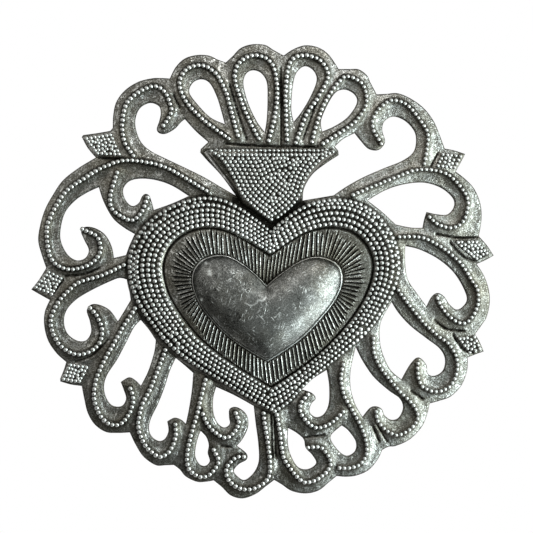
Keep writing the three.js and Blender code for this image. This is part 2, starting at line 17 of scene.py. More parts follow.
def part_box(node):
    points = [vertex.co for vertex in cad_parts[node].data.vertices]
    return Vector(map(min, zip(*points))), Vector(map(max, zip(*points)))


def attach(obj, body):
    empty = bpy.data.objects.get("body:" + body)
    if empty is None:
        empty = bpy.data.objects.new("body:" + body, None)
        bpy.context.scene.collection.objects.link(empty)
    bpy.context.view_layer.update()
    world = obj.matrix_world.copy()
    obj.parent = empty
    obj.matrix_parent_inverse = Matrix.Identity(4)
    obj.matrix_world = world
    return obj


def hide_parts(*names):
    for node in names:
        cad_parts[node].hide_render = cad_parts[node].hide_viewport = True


bl_info = {
    "name": "Metal Heart Wall Ornament",
    "version": (1, 0, 0),
    "blender": (4, 5, 0),
    "location": "View3D > Sidebar > Ornament",
    "description": "Builds a hammered metal heart ornament with bead rows and aged steel finishes",
    "category": "Object",
}

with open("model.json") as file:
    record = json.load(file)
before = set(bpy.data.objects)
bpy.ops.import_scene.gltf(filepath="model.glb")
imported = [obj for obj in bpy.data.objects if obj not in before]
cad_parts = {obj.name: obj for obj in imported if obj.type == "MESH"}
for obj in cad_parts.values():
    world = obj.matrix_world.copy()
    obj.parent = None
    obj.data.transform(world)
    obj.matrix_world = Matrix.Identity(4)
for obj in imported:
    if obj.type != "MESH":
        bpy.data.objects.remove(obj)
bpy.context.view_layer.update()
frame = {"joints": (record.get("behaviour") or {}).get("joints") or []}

# The pattern is drawn in squares of half a millimetre, counted right and down from its corner.
SQUARE = 0.5
PATTERN_MIDDLE = (266, 270)
IMAGE_SQUARES = 533
MILLIMETRE = 0.001

# Outer edge, clockwise from the notch left of the flames. Each run goes to the next notch or tip.
OUTER_EDGE = [
    [(170, 78.5), (176, 67), (185, 58.5), (197, 55), (209, 55.5), (218, 59.5), (226, 62.5)],
    [(233, 56), (241, 48), (252, 44.3), (265, 44.8), (274, 50), (284, 55.5)],
    [(293, 49.5), (305, 45.3), (318, 47.2), (329, 54.5), (339, 69)],
    [(349, 69), (359, 69.3), (367, 75), (371, 83), (377, 94.3)],
    [(387, 93.8), (398, 93.2), (411, 98.5), (424, 108), (434, 121), (440, 135), (445, 148.5)],
    [(455, 150.5), (465.5, 154)],
    [(461, 162.5), (456, 171.5)],
    [(465, 178.5), (474, 188), (480, 201), (482, 214), (481, 226), (479, 236)],
    [(487, 245), (494, 255.5)],
    [(486, 260), (477, 264)],
    [(484, 275), (489, 289), (490, 303), (487, 317), (482, 325), (475.5, 334)],
    [(480, 342), (484, 351.5)],
    [(476, 354.3), (468, 357.5)],
    [(467.5, 370), (462, 385), (451, 396.5), (439, 401), (430, 403.5)],
    [(427.5, 414), (422, 427), (410, 439.5), (396, 446), (389, 446.7), (382.5, 450)],
    [(378, 459.5), (369, 470), (357, 475.5), (346, 476.8), (337, 476)],
    [(329, 482.5), (319, 490.5), (306, 493.5), (292, 491), (282, 484.5), (274.5, 480)],
    [(266, 486.5), (256, 494), (243, 498.5), (231, 495.5), (222, 487), (214, 480.5)],
    [(206, 481.8), (197, 481.8), (186, 476.5), (180, 469.5), (174, 465)],
    [(166, 465.3), (156, 465.2), (144, 457), (136, 445), (130, 432.5)],
    [(118, 433), (106, 432), (95, 424.5), (88, 413), (84.5, 399), (82, 386)],
    [(71, 384.5), (60.5, 381.5)],
    [(60.5, 378.5)],
    [(64, 370), (66.5, 362)],
    [(57, 353.5), (48.5, 341), (44.5, 326), (45, 312), (50, 300)],
    [(41, 295), (31.5, 289.5)],
    [(39, 280), (46.5, 268)],
    [(42, 255), (38.5, 241), (40, 227), (45, 210), (53, 195), (63, 180.5), (78, 168.5), (96, 157.5)],
    [(88, 148), (82, 137)],
    [(83.5, 135)],
    [(98, 133), (110.5, 130.8)],
    [(113, 128)],
    [(113.5, 115), (116.5, 102), (125, 90.5), (138, 82), (152, 78.3), (162, 78), (170, 78.5)],
]

# Pierced openings, each from one of its corners back to it: flames, left scrolls, right scrolls.
OPENINGS = [
    [[(225, 124), (211, 117.5), (198, 104.5), (189.5, 92), (193, 82.5), (201.5, 79), (210, 83),
      (217, 96.5), (221.5, 111), (225, 124)]],
    [[(265, 132), (257, 121), (248.5, 103), (243.7, 84), (246, 74), (252.5, 70), (261, 72.5),
      (267, 82), (267.8, 100), (267, 119), (265, 132)]],
    [[(294, 121.8), (291.7, 110), (292.5, 91), (296, 74), (304.5, 66), (313.5, 70), (317, 80),
      (311, 96), (302, 111.5), (294, 121.8)]],
    [[(322.5, 131.5), (321.5, 120), (329, 102.5), (337, 91.5), (346.5, 89.5), (355.5, 95),
      (357, 103.5), (348, 117), (335, 126), (322.5, 131.5)]],
    [[(185, 119), (196, 131), (208.5, 142)],
     [(201, 149)],
     [(200.5, 152.5)],
     [(208, 161), (219, 172.5), (228, 184), (236, 195.5)],
     [(222, 187.5), (205, 177.5), (188, 169), (168, 159.5), (152, 151.5), (142, 143), (136.5, 131),
      (135.5, 119), (140, 108), (150, 102.7), (159, 106), (161, 113), (159.5, 121), (157, 129),
      (159.5, 133), (166, 133.5), (175, 128.5), (181, 122), (185, 119)]],
    [[(189, 196), (172, 203.5), (154, 210)],
     [(151.5, 201), (149, 195), (145, 194), (142, 197), (139, 203), (133, 206), (127, 202),
      (123.3, 194), (124, 187), (130, 180.8), (141, 178.5), (156, 180), (172, 185.5), (189, 196)]],
    [[(99, 187), (104, 202), (113, 218), (124, 227.5), (135, 234)],
     [(129.5, 246), (126.3, 255)],
     [(114, 258)],
     [(111.5, 246), (105, 234.5), (95, 228), (85.5, 226.8), (81.2, 231), (84.5, 240), (89, 250),
      (85.5, 258), (76.5, 260.3), (67.5, 254.5), (61, 242), (60.5, 229), (65, 212.5), (75, 200.5),
      (87, 192.5), (99, 187)]],
    [[(127, 279.5), (129.5, 291), (131, 300)],
     [(124.5, 311), (118, 321.5)],
     [(110, 310.5), (100, 305), (91.5, 304.5), (87, 310.5), (90, 321), (91.3, 332), (86, 340.5),
      (76.5, 340.5), (67, 333), (63.8, 321), (67, 309.5), (77, 299), (93, 289.5), (111, 281),
      (120, 278), (127, 279.5)]],
    [[(156, 340), (154.5, 352), (148.5, 371), (141, 386)],
     [(135.5, 380.5), (129, 377.5), (121, 382)],
     [(124, 390), (126.3, 399), (121.5, 406.3), (112, 405.5), (105.8, 397), (104, 386),
      (107.5, 374.5), (117, 360), (126, 343), (134, 327.5), (141, 320)],
     [(149, 329.5), (156, 340)]],
    [[(176, 358), (185, 365.5), (193.5, 373)],
     [(192, 391), (189, 410), (186, 424)],
     [(181, 419.8), (174.5, 418), (167.5, 421.5)],
     [(168.7, 431), (165, 439), (159, 441.3), (152, 437), (149, 429), (151, 419), (158, 404.5),
      (164.5, 388), (170, 371), (176, 358)]],
    [[(201, 431), (206.5, 437), (209, 445), (208, 453), (210, 461), (206, 466), (200, 464.8),
      (195.5, 457), (196, 447), (198.5, 437), (201, 431)]],
    [[(216.5, 387), (235, 395.5), (254, 406)],
     [(256, 424), (258.5, 443), (259, 461), (254, 473), (245, 480.3), (238, 477), (234, 471),
      (239, 464.3), (247, 459.5), (246.5, 453.5), (237, 446)],
     [(243.5, 438), (248.5, 426), (246.5, 414.5), (237.5, 407.5), (230, 409), (229.3, 417),
      (230, 424), (224.5, 427.8), (217.5, 423), (213.5, 412), (213.5, 398), (216.5, 387)]],
    [[(303, 200.5), (304.5, 188), (313, 174), (326, 163.5), (339, 155)],
     [(338.5, 150.5)],
     [(335, 146.5)],
     [(344, 138.5), (355, 133)],
     [(361, 140.5), (369, 148.7), (379, 149.8), (385.3, 142), (382.5, 130), (385, 121), (394, 116.3),
      (406, 121), (415, 131.5), (416.5, 143), (413, 153), (402, 161), (384, 168.3), (363, 177.5),
      (346, 187), (334, 195.3)],
     [(319, 197.8), (303, 200.5)]],
    [[(368, 200.5), (385, 190.5), (404, 184.3), (424, 182.5), (441, 187.5), (453, 197.5),
      (454.5, 206.5), (448, 214.3), (437, 214.2), (427, 212)],
     [(424.8, 219), (423, 227.8)],
     [(411, 227.5), (396, 224.5)],
     [(382, 211.5), (368, 200.5)]],
    [[(405.5, 246), (420, 249.5), (438, 258.5), (453, 271), (463, 286), (467.5, 299), (463, 307),
      (456.5, 309.5), (449.5, 304), (444.5, 296.5), (438, 293), (432, 297), (427, 306.5)],
     [(417, 293), (408, 279), (405.5, 263), (405.5, 246)]],
    [[(392, 302), (399, 313), (411, 326), (427, 338.5), (440, 348.5), (445.5, 359), (443.5, 370.5),
      (435, 376), (428, 373.5), (426.5, 364.5), (419, 357.5), (411, 364), (402, 379.5)],
     [(391, 370), (383.5, 355), (380, 339), (381.5, 321), (392, 302)]],
    [[(356, 347), (363, 361), (374, 377), (389, 390.5), (400, 398.5), (403.5, 408), (399, 418),
      (391.5, 420), (385, 415.5), (382, 409), (376, 406.5), (370, 408.5), (363, 417)],
     [(355.5, 404), (351, 388), (351, 370), (356, 347)]],
    [[(302, 389.5), (313, 379), (327, 370)],
     [(329.5, 386), (329, 404), (324, 414.5), (316, 417.3), (310, 412), (311.5, 404), (316, 398.5),
      (312, 393), (302, 389.5)]],
    [[(342, 425.5), (348.5, 430.5), (356, 441.5), (355.5, 451), (348, 456), (340.5, 452.5),
      (332.5, 442.5), (331.5, 435), (342, 425.5)]],
    [[(288.5, 428), (297, 433), (304, 439.5), (306, 448), (312.5, 455), (316.5, 463.5), (308, 469.5),
      (298, 467), (290.5, 454), (288, 441), (288.5, 428)]],
]

# Bead rows that run on the ridges: four flame loops, nine left scrolls, eight right scrolls.
BEAD_LINES = [
    [(229, 139), (215, 129), (200, 117), (186, 101), (180, 84), (187, 70), (202, 66), (216, 74),
     (226, 92), (232, 113), (238, 136)],
    [(259, 139), (250, 122), (241, 100), (235, 77), (241, 62), (256, 56), (271, 63), (277, 83),
     (276, 111), (269, 141)],
    [(287, 140), (286, 114), (286, 86), (291, 62), (305, 56), (321, 62), (328, 77), (318, 98),
     (306, 116), (296, 143)],
    [(312, 142), (318, 120), (327, 99), (341, 80), (350, 77.5), (363, 86), (366, 105), (355, 122),
     (338, 134), (323, 144)],
    [(134, 156), (126, 144), (123, 130), (124, 116), (128, 103), (139, 93), (153, 87), (164, 91),
     (171, 105), (171, 115), (164, 126)],
    [(207, 191), (169, 169), (144, 162), (123, 161), (103, 168), (86, 178), (65, 194), (50, 221),
     (48, 237), (51.5, 257), (61.5, 267), (75, 269), (91, 264), (101, 252), (98, 237), (83, 229)],
    [(118, 173), (113, 187.5), (111, 199), (113, 209), (123, 217), (134, 220), (143, 211), (148, 197.5)],
    [(124.5, 265), (103, 275), (81, 281.5), (70, 290), (60, 301), (53, 315), (52, 325), (56.5, 338),
     (65, 348), (78, 354), (91, 351), (100, 343), (103, 330), (98, 316), (91, 308)],
    [(136, 308), (123, 328), (113, 346), (106, 358), (98, 376), (95, 391), (96, 402.5), (103, 417.5),
     (113, 424), (123, 422), (131, 411), (134, 399), (131, 388)],
    [(166, 349.5), (159, 368), (151, 388), (143, 404), (139, 422), (141, 434), (148, 447), (161, 456),
     (171, 449), (176, 436), (176, 424)],
    [(206, 379), (201, 399), (197, 416), (191, 436), (187.5, 454), (189, 467), (196, 474), (204, 476),
     (212, 472), (219, 461), (214, 449)],
    [(202, 409), (207, 422), (216, 432), (226, 437), (234, 432), (239, 422), (236, 412.5)],
    [(264, 412.5), (265, 424), (269, 449), (270, 472), (264, 482), (252, 488), (239, 487), (229, 479),
     (227, 467), (236, 457), (244, 456)],
    [(381, 144), (373, 129.5), (374, 116), (386, 103), (396, 101), (407.5, 106), (419, 119.5),
     (427, 133), (427, 146), (424, 164)],
    [(353, 195), (374, 186), (394, 178), (412.5, 171), (429, 170), (446, 174), (456, 182.5), (466, 196),
     (467, 209), (462, 222), (451, 228), (437, 224), (429, 217)],
    [(399, 237), (419, 237), (436, 244), (452, 255.5), (462, 265.5), (471, 280), (477, 290), (477, 305),
     (470.5, 318), (462, 323), (451, 318), (442, 308), (437, 298)],
    [(398, 290), (409, 305), (424, 323), (437, 335), (449, 344.5), (456, 358), (456, 373), (449, 386),
     (436, 391), (422, 386), (417.5, 374), (417.5, 363)],
    [(373, 338), (374, 353), (381, 368), (391, 381), (402.5, 394), (412.5, 404), (417.5, 416),
     (412.5, 426), (399, 434), (388, 431), (378, 421), (376, 411)],
    [(343, 364), (341, 379), (344.5, 396), (353, 411), (361, 426), (366, 441), (366, 454), (359, 464),
     (349.5, 467), (339.5, 467)],
    [(343, 411), (333, 421), (320, 427), (310, 424), (301, 412.5), (301, 402.5), (308, 394)],
    [(277, 414), (280, 432), (283, 454), (290, 467), (303, 480.5), (316, 479), (328, 469), (330, 459),
     (321, 447), (308, 447)],
]

# Chased lines between neighbouring scrolls and flames.
CHASED_LINES = [
    [(226, 144), (270, 146.5), (318, 147)],
    [(230, 85), (238, 112), (247, 140)],
    [(281, 68), (281.5, 105), (281, 145)],
    [(318, 98), (311, 118), (303, 140)],
    [(174, 95), (180, 108)],
    [(65, 276), (84, 274), (100, 268)],
    [(75, 362), (93, 355), (108, 340)],
    [(221, 446), (231, 447)],
    [(303, 438), (324, 435)],
    [(436, 234), (456, 237.5), (478, 237)],
    [(434, 320), (447, 329), (464, 331)],
    [(411, 391), (423, 399)],
    [(373, 427), (379, 441)],
    [(377, 425), (387, 441)],
    [(438, 153), (431, 166)],
    [(271, 413), (273, 457)],
    [(274, 415), (276, 457)],
    [(450, 242), (456, 249.5), (464.5, 257), (475, 261)],
    [(453, 334), (457, 341.5), (464, 350), (473, 353)],
    [(98, 157.5), (115, 158.5), (124, 157.5)],
    [(63.5, 280), (57, 288), (54, 293)],
]

# Corners of the beaded leaf tips.
LEAVES = [
    [(84, 137.5), (112, 133), (122, 156), (97, 155)],
    [(34, 288), (49, 270), (64, 277), (52, 296)],
    [(62, 380), (69, 363), (89, 366), (81, 383)],
    [(441, 153), (463, 155), (456, 169), (435, 167)],
    [(453, 240), (477, 240), (491, 254.5), (478, 261), (462, 249)],
    [(456, 337), (475, 335), (482, 350), (470, 354)],
]

# Heart lines from the cleft round the left lobe to the tip, then up the right lobe.
BORDER_LINE = [
    [(271, 230), (257, 218.5), (240, 206.5), (222, 198), (203, 195.7), (184, 199.8), (165, 208.5),
     (147, 222), (134, 240), (127.5, 259), (127.5, 280), (135, 305), (150, 330), (170, 352),
     (197, 370.5), (226, 387.5), (252, 403), (272.5, 414.5)],
    [(272.5, 414.5), (289, 403), (304, 386), (326, 367), (350, 347.5), (370, 329.5), (385.5, 307),
     (397, 284), (400.5, 262), (395, 238), (381, 216.5), (362, 202.5), (340, 197.6), (318, 200),
     (300, 207.5), (284, 219), (271, 230)],
]
RAY_LINE = [
    [(270.5, 255), (256, 246), (238, 236), (221, 229.3), (204, 228), (187, 232.7), (172, 244.5),
     (164.5, 260), (164, 275), (170, 296), (183, 317), (201, 338.5), (224, 357), (248, 373),
     (271.5, 387)],
    [(271.5, 387), (292, 374), (316, 356.5), (338, 335), (357, 311), (369, 288), (373.5, 266),
     (368, 247), (354, 232.5), (335, 227.2), (315, 229.5), (297, 237), (283, 246), (270.5, 255)],
]
DOME_LINE = [
    [(267, 285.5), (256, 274.5), (243, 264), (230, 256.8), (217, 255.3), (203, 260), (194.3, 271),
     (193.3, 285), (200, 303), (213, 320.5), (230, 337), (249, 350), (268, 360.7)],
    [(268, 360.7), (286, 349.5), (304, 336), (320, 319), (334, 301), (341.5, 284), (340, 268.5),
     (330, 259.8), (315, 257), (300, 261.5), (285, 271), (275, 278.3), (267, 285.5)],
]
DOME_MIDDLE = (267, 310)
DOME_SPREAD = (46, 36)
DOME_SMEAR = [(246, 302), (252, 304.5), (257, 302), (259, 299.5), (263, 300), (266, 297)]
# Painted glints on the dome's left lobe, and spots of painted shade on the dome.
DOME_GLINTS = [(207, 263), (211, 271), (211.5, 274), (203, 299)]
DOME_SHADE_SPOTS = [(327, 268), (210, 288), (235, 282), (232, 324), (252, 344), (268, 356)]

# Course of the rays on the left half: a point of the dome's edge and the point that its ray aims at.
RAY_COURSE = [
    [(267, 285.5), (270.5, 255)], [(243, 264), (237, 235)], [(220, 255), (220, 229)],
    [(208, 258), (198, 229)], [(200, 262), (180, 238)], [(194, 271), (167, 254)],
    [(193, 276), (164, 273)], [(193.5, 285), (167, 289)], [(196, 294), (173, 303)],
    [(199, 301), (185, 320)], [(204, 309), (194, 331)], [(212, 319), (205, 342)],
    [(230, 337), (227, 359)], [(249, 350), (248, 373)], [(268, 360.7), (271.5, 387)],
]
RAY_MIRROR = 268.5

# Edge of the crown panel, clockwise from its top left tab, and its outermost bead rows.
CROWN_EDGE = [
    [(203.5, 152.5), (208, 149.7)],
    [(332, 149.7)],
    [(337, 153.5)],
    [(325, 162), (311, 176), (303, 190), (299.5, 203)],
    [(271, 224)],
    [(242, 204)],
    [(233, 190.5), (220, 173.5), (203.5, 152.5)],
]
CROWN_LEFT_ROW = [(212, 152), (223, 160), (231, 171.5), (238, 185), (243.5, 195.5), (256.5, 208.5),
                  (272, 220)]
CROWN_RIGHT_ROW = [(274, 220), (290, 207), (298, 196.5), (301, 188), (305, 178), (312, 168), (322, 159),
                   (333, 152)]
CROWN_MIDDLE = (270, 178)

# Upper corners of the panel's bead field, its two rows at the top and how far down these reach.
CROWN_CORNERS = [(334, 150), (211, 150)]
CROWN_TOP_ROWS = [[(208, 151.8), (335, 151.8)], [(208, 156), (335, 156)]]
CROWN_TOP_END = 158

# Shares across the heart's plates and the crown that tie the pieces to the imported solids.
BORDER_LAP = 0.22
RING_LAP = 0.12
DOME_LAP = 0.09
CROWN_LAP = 0.15

# In millimetres: thickness of the raised plates, spacing of finely drawn lines, length of the border's
# outer edge, width of the leaf tips' bare edge.
PLATE = 1.0
FINE = SQUARE / 2
BORDER_LENGTH = 380
LEAF_EDGE = 0.75

# The right side, where the key lamp falls strongest: painted light on its sheet, painted shade on its bead
# tops and worn spots, and smaller, flatter beads. Its start and end right of the middle, in millimetres for
# shapes and in metres for materials.
LAMP_LIT_SIDE = (15, 55)
LAMP_LIT_SIDE_METRES = (0.01, 0.055)

# A bead's room as a share of the pitch, how deep it sits as a share of its half width, how many beads
# are joined at a time, and the way they face.
BEAD_ROOM = 0.86
BEAD_SINK = 0.02
BEAD_BATCH = 48
OUTWARD = (0, -1, 0)

# Profile across one chased ray: shares of its width and how deep the cut is there.
RAY_SHARES = np.array([0, 0.15, 0.25, 0.33, 0.41, 0.59, 0.67, 0.75, 0.85])
RAY_CUTS = np.array([0, -0.1, -0.5, 0.3, 1, 1, 0.3, -0.5, -0.1])

# Polish of the plates' undersides.
UNDERSIDE = 0.42

# Hanger, in metres: the strap's plate and its rounded edges, half the barrel's length, the wire's play
# in the barrel and the bend of the ring's upper corners.
STRAP_PLATE = 0.0008
STRAP_CORNER = 0.0014
STRAP_ROUNDING = 0.00014
BARREL_HALF = 0.003
WIRE_PLAY = 0.0003
RING_CORNER = 0.0011

# Lamps: place, size, watts and colour.
LAMPS = {
    "key": ((0.97, -0.63, -0.14), (1.35, 1.35), 25.5, (0.9, 1.0, 1.0)),
    "top": ((0.12, -0.5, 0.42), (0.25, 0.2), 0.65, (1.0, 0.99, 0.97)),
    "fill": ((-0.45, -0.65, 0.3), (0.9, 0.7), 1.2, (1.0, 0.98, 0.94)),
    "back": ((0.5, 0.8, 0.5), (0.9, 0.9), 9.0, (1.0, 1.0, 1.0)),
}
ROOM_LIGHT = (0.06, 0.058, 0.053, 1)

# The view: its distance, its axis right of and above the middle, its sensor and its nearest depth.
VIEW_DISTANCE = 0.42
VIEW_AXIS = (0.4 * MILLIMETRE, 1.75 * MILLIMETRE)
VIEW_SENSOR = 36
VIEW_NEAREST = 0.05


class OrnamentSizes(bpy.types.PropertyGroup):
    """Sizes of the ornament's raised work."""

    sheet_thickness: FloatProperty(
        name="Sheet Thickness", description="Thickness of the pierced sheet at its edges",
        default=0.0012, unit="LENGTH")
    ridge_rise: FloatProperty(
        name="Ridge Rise", description="Height of the hammered ridges above the sheet",
        default=0.0015, unit="LENGTH")
    border_crest: FloatProperty(
        name="Border Crest", description="Highest level of the heart border above the wall",
        default=0.0057, unit="LENGTH")
    border_lip: FloatProperty(
        name="Border Lip", description="Level of the border's inner lip above the wall",
        default=0.0044, unit="LENGTH")
    ring_edge: FloatProperty(
        name="Ray Ring Edge", description="Level of the ray ring under the border's lip",
        default=0.0031, unit="LENGTH")
    ring_rise: FloatProperty(
        name="Ray Ring Rise", description="Rise of the ray ring towards the dome",
        default=0.0013, unit="LENGTH")
    ray_depth: FloatProperty(
        name="Ray Depth", description="Depth of the chased rays", default=0.00035, unit="LENGTH")
    ray_count: IntProperty(
        name="Ray Count", description="Number of chased rays", default=112, min=12)
    dome_rise: FloatProperty(
        name="Dome Rise", description="Rise of the heart dome above its seat",
        default=0.0079, unit="LENGTH")
    crown_front: FloatProperty(
        name="Crown Front", description="Level of the crown panel's front above the wall",
        default=0.0062, unit="LENGTH")
    bead_width: FloatProperty(
        name="Bead Width", description="Width of one punched bead", default=0.00245, unit="LENGTH")
    bead_pitch: FloatProperty(
        name="Bead Pitch", description="Distance between beads in a row", default=0.0024, unit="LENGTH")
    wire: FloatProperty(
        name="Ring Wire", description="Thickness of the hanging ring's wire", default=0.0018, unit="LENGTH")
    fineness: FloatProperty(
        name="Sheet Fineness", description="Spacing of the hammered sheet's points",
        default=0.00062, unit="LENGTH")


class OrnamentFinish(bpy.types.PropertyGroup):
    """Colours and wear of the aged steel."""

    # Also the colour of the painted shade.
    recess: FloatVectorProperty(
        name="Recess", description="Dark patina in the recesses", subtype="COLOR", size=4,
        default=(0.012, 0.011, 0.009, 1.0))
    sheet: FloatVectorProperty(
        name="Sheet", description="Aged steel of the flat sheet", subtype="COLOR", size=4,
        default=(0.156, 0.152, 0.132, 1.0))
    # Also the colour of the painted highlights.
    bright: FloatVectorProperty(
        name="Bright", description="Polished steel of the high spots", subtype="COLOR", size=4,
        default=(0.78, 0.80, 0.78, 1.0))
    dome: FloatVectorProperty(
        name="Dome", description="Burnished steel of the dome", subtype="COLOR", size=4,
        default=(0.212, 0.217, 0.206, 1.0))
    backdrop: FloatVectorProperty(
        name="Backdrop", description="Colour of the wall and the floor", subtype="COLOR", size=4,
        default=(1.0, 1.0, 1.0, 1.0))


def millimetres(name):
    """One of the ornament's sizes, in millimetres."""
    return getattr(bpy.context.scene.ornament_sizes, name) / MILLIMETRE


# Lines and outlines, in millimetres seen from the front.
def place(points):
    """Points of the pattern as millimetres right of and above its middle."""
    squares = np.asarray(points, float).reshape(-1, 2)
    right = (squares[:, 0] - PATTERN_MIDDLE[0]) * SQUARE
    up = (PATTERN_MIDDLE[1] - squares[:, 1]) * SQUARE
    return np.column_stack([right, up])


def lengths(vectors):
    return np.hypot(vectors[:, 0], vectors[:, 1])


def even_points(line, count=None, spacing=None):
    """Points that cut a line into equal lengths, with both ends: as many lengths as given, or as many
    as come nearest to a spacing."""
    along = np.concatenate([[0], np.cumsum(lengths(np.diff(line, axis=0)))])
    count = count or max(int(round(along[-1] / spacing)), 1)
    stops = np.linspace(0, along[-1], count + 1)
    return np.column_stack([np.interp(stops, along, line[:, 0]), np.interp(stops, along, line[:, 1])])


def smooth_line(points, spacing):
    """A smooth curve through placed points, as evenly spaced points with both ends kept."""
    points = np.asarray(points, float)
    if len(points) == 2:
        return even_points(points, spacing=spacing)
    padded = np.vstack([points[:1], points, points[-1:]])
    share = np.linspace(0, 1, 25)[:-1, None]
    bends = []
    for a, b, c, d in zip(padded, padded[1:], padded[2:], padded[3:]):
        bend = (2 * b + (c - a) * share + (2 * a - 5 * b + 4 * c - d) * share**2
                + (3 * b - a - 3 * c + d) * share**3) / 2
        bends.append(bend)
    return even_points(np.vstack(bends + [points[-1:]]), spacing=spacing)


def outline(runs, spacing):
    """One closed line: a smooth curve in each run, a corner between runs."""
    pieces = []
    last = place(runs[0][:1])
    for index, run in enumerate(runs):
        points = np.vstack([last, place(run[1:] if index == 0 else run)])
        pieces.append(smooth_line(points, spacing)[:-1])
        last = points[-1:]
    return np.vstack(pieces)


def heart_line(halves, count):
    """Evenly spaced points of a heart line: the first is the cleft, the middle one is the tip."""
    sides = [even_points(smooth_line(place(half), FINE), count // 2)[:-1] for half in halves]
    return np.vstack(sides)


def nearest(line, point):
    return int(lengths(line - point).argmin())


def sides_of(loop):
    """The sides of a closed line, each as its two ends."""
    return zip(loop, np.roll(loop, -1, axis=0))


def along_sides(loop):
    """Fine points along the straight sides of a closed line."""
    return np.vstack([smooth_line(side, FINE) for side in sides_of(loop)])


def mix(a, b, share):
    return a + (b - a) * share


def ease(value, low, high):
    """From 0 at the low value to 1 at the high one, level at both ends."""
    share = np.clip((value - low) / (high - low), 0, 1)
    return share * share * (3 - 2 * share)


def hump(gap, width):
    """1 where the gap is 0, fading out on both sides over about twice the width."""
    return np.exp(-(gap / width)**2)


def inside(loop, points):
    """Which points lie inside a closed line."""
    x, y = points[:, 0], points[:, 1]
    found = np.zeros(len(points), bool)
    for (x0, y0), (x1, y1) in sides_of(loop):
        if y0 != y1:
            crossed = ((y0 <= y) != (y1 <= y)) & (x < x0 + (y - y0) * (x1 - x0) / (y1 - y0))
            found ^= crossed
    return found


def points_inside(loop):
    """Fine points in even rows inside a closed line."""
    low, high = loop.min(axis=0), loop.max(axis=0)
    grid = np.meshgrid(np.arange(low[0], high[0], FINE), np.arange(low[1], high[1], FINE))
    points = np.stack(grid, axis=-1).reshape(-1, 2)
    return points[inside(loop, points)]


class Nearness:
    """Distances from points to a set of lines."""

    def __init__(self, lines):
        points = np.vstack(lines)
        self.tree = KDTree(len(points))
        for index, (x, y) in enumerate(points):
            self.tree.insert((x, y, 0), index)
        self.tree.balance()

    def __call__(self, points):
        return np.array([self.tree.find((x, y, 0))[2] for x, y in points])


# Mesh helpers.
def to_metres(points, levels):
    """Points seen from the front and their levels above the wall, in the shared frame."""
    levels = np.broadcast_to(levels, len(points))
    return np.column_stack([points[:, 0], -levels, points[:, 1]]) * MILLIMETRE


def only(items, kind):
    return [item for item in items if isinstance(item, kind)]


def loft(rows, polish_and_shading):
    """A closed band: the first row of points is extruded through the others, and the last row
    meets the first. Each row has its own polish."""
    bm = bmesh.new()
    step = bm.verts.layers.int.new("step")
    shine = bm.verts.layers.float.new("polish_and_shading")
    first = [bm.verts.new(point) for point in rows[0]]
    for index, value in enumerate(np.broadcast_to(polish_and_shading[0], len(first))):
        first[index][step] = index
        first[index][shine] = value
    edges = [bm.edges.new(pair) for pair in zip(first, first[1:] + first[:1])]
    for row, values in zip(rows[1:], polish_and_shading[1:]):
        made = bmesh.ops.extrude_edge_only(bm, edges=edges)["geom"]
        edges = only(made, bmesh.types.BMEdge)
        values = np.broadcast_to(values, len(row))
        for vert in only(made, bmesh.types.BMVert):
            vert.co = row[vert[step]]
            vert[shine] = values[vert[step]]
    bmesh.ops.remove_doubles(bm, verts=bm.verts, dist=1e-7)
    return bm


class Band:
    """A plate drawn as rows of points, round its front and back, with a level and a polish for each."""

    def __init__(self):
        self.rows = []
        self.polish_and_shading = []

    def add(self, points, levels, polish_and_shading):
        self.rows.append(to_metres(points, levels))
        self.polish_and_shading.append(polish_and_shading)

    def mesh(self, polish_and_shading):
        """The band's mesh, closed with this polish."""
        return loft(self.rows + self.rows[:1], self.polish_and_shading + [polish_and_shading])


def finish_piece(bm, name, material, body="ornament", node=None, sharp=50):
    """Makes the mesh an object that rides on its body."""
    bmesh.ops.recalc_face_normals(bm, faces=bm.faces)
    mesh = bpy.data.meshes.new(name)
    bm.to_mesh(mesh)
    bm.free()
    if "step" in mesh.attributes:
        mesh.attributes.remove(mesh.attributes["step"])
    mesh.shade_smooth()
    mesh.set_sharp_from_angle(angle=math.radians(sharp))
    mesh.materials.append(material)
    piece = bpy.data.objects.new(name, mesh)
    bpy.context.scene.collection.objects.link(piece)
    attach(piece, body)
    if node:
        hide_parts(node)


def bead_field(beads):
    """Closed beads, each given by its middle, its outward direction, its half width and its height.
    They are made in small batches, which is quicker than in one growing mesh."""
    whole = bmesh.new()
    whole.verts.layers.float.new("polish_and_shading")
    for start in range(0, len(beads), BEAD_BATCH):
        some = bmesh.new()
        shine = some.verts.layers.float.new("polish_and_shading")
        for middle, outward, half, height in beads[start:start + BEAD_BATCH]:
            turn = Vector(outward).to_track_quat("Z", "Y").to_matrix().to_4x4()
            matrix = Matrix.Translation(middle) @ turn @ Matrix.Diagonal((half, half, height, 1))
            made = bmesh.ops.create_icosphere(some, subdivisions=2, radius=1, matrix=matrix)
            centre, direction = Vector(middle), Vector(outward) / height
            for vert in made["verts"]:
                vert[shine] = max((vert.co - centre).dot(direction), 0)
        mesh = bpy.data.meshes.new("beads")
        some.to_mesh(mesh)
        some.free()
        whole.from_mesh(mesh)
        bpy.data.meshes.remove(mesh)
    return whole


class BeadRows:
    """Collects bead places row by row, and skips a bead that would crowd an earlier one."""

    def __init__(self, room):
        self.room = room
        self.places = []

    def add(self, x, y):
        """Adds a bead if it has room, and says if it had."""
        if any(math.hypot(x - a, y - b) < self.room for a, b in self.places):
            return False
        self.places.append((x, y))
        return True

    def add_shaken(self, points, hand, shake):
        """Adds beads at points, each shifted a little."""
        for x, y in points:
            self.add(x + hand.uniform(-shake, shake), y + hand.uniform(-shake, shake))

    def fill(self, points, share):
        """Adds beads in the holes that are left among the points, in the middle of the widest first.
        Gives the numbers of the points that got one."""
        gaps = Nearness([self.places])(points)
        taken = []
        while gaps.max() > share * self.room:
            taken.append(int(gaps.argmax()))
            widest = points[taken[-1]]
            self.places.append(tuple(widest))
            gaps = np.minimum(gaps, lengths(points - widest))
        return taken


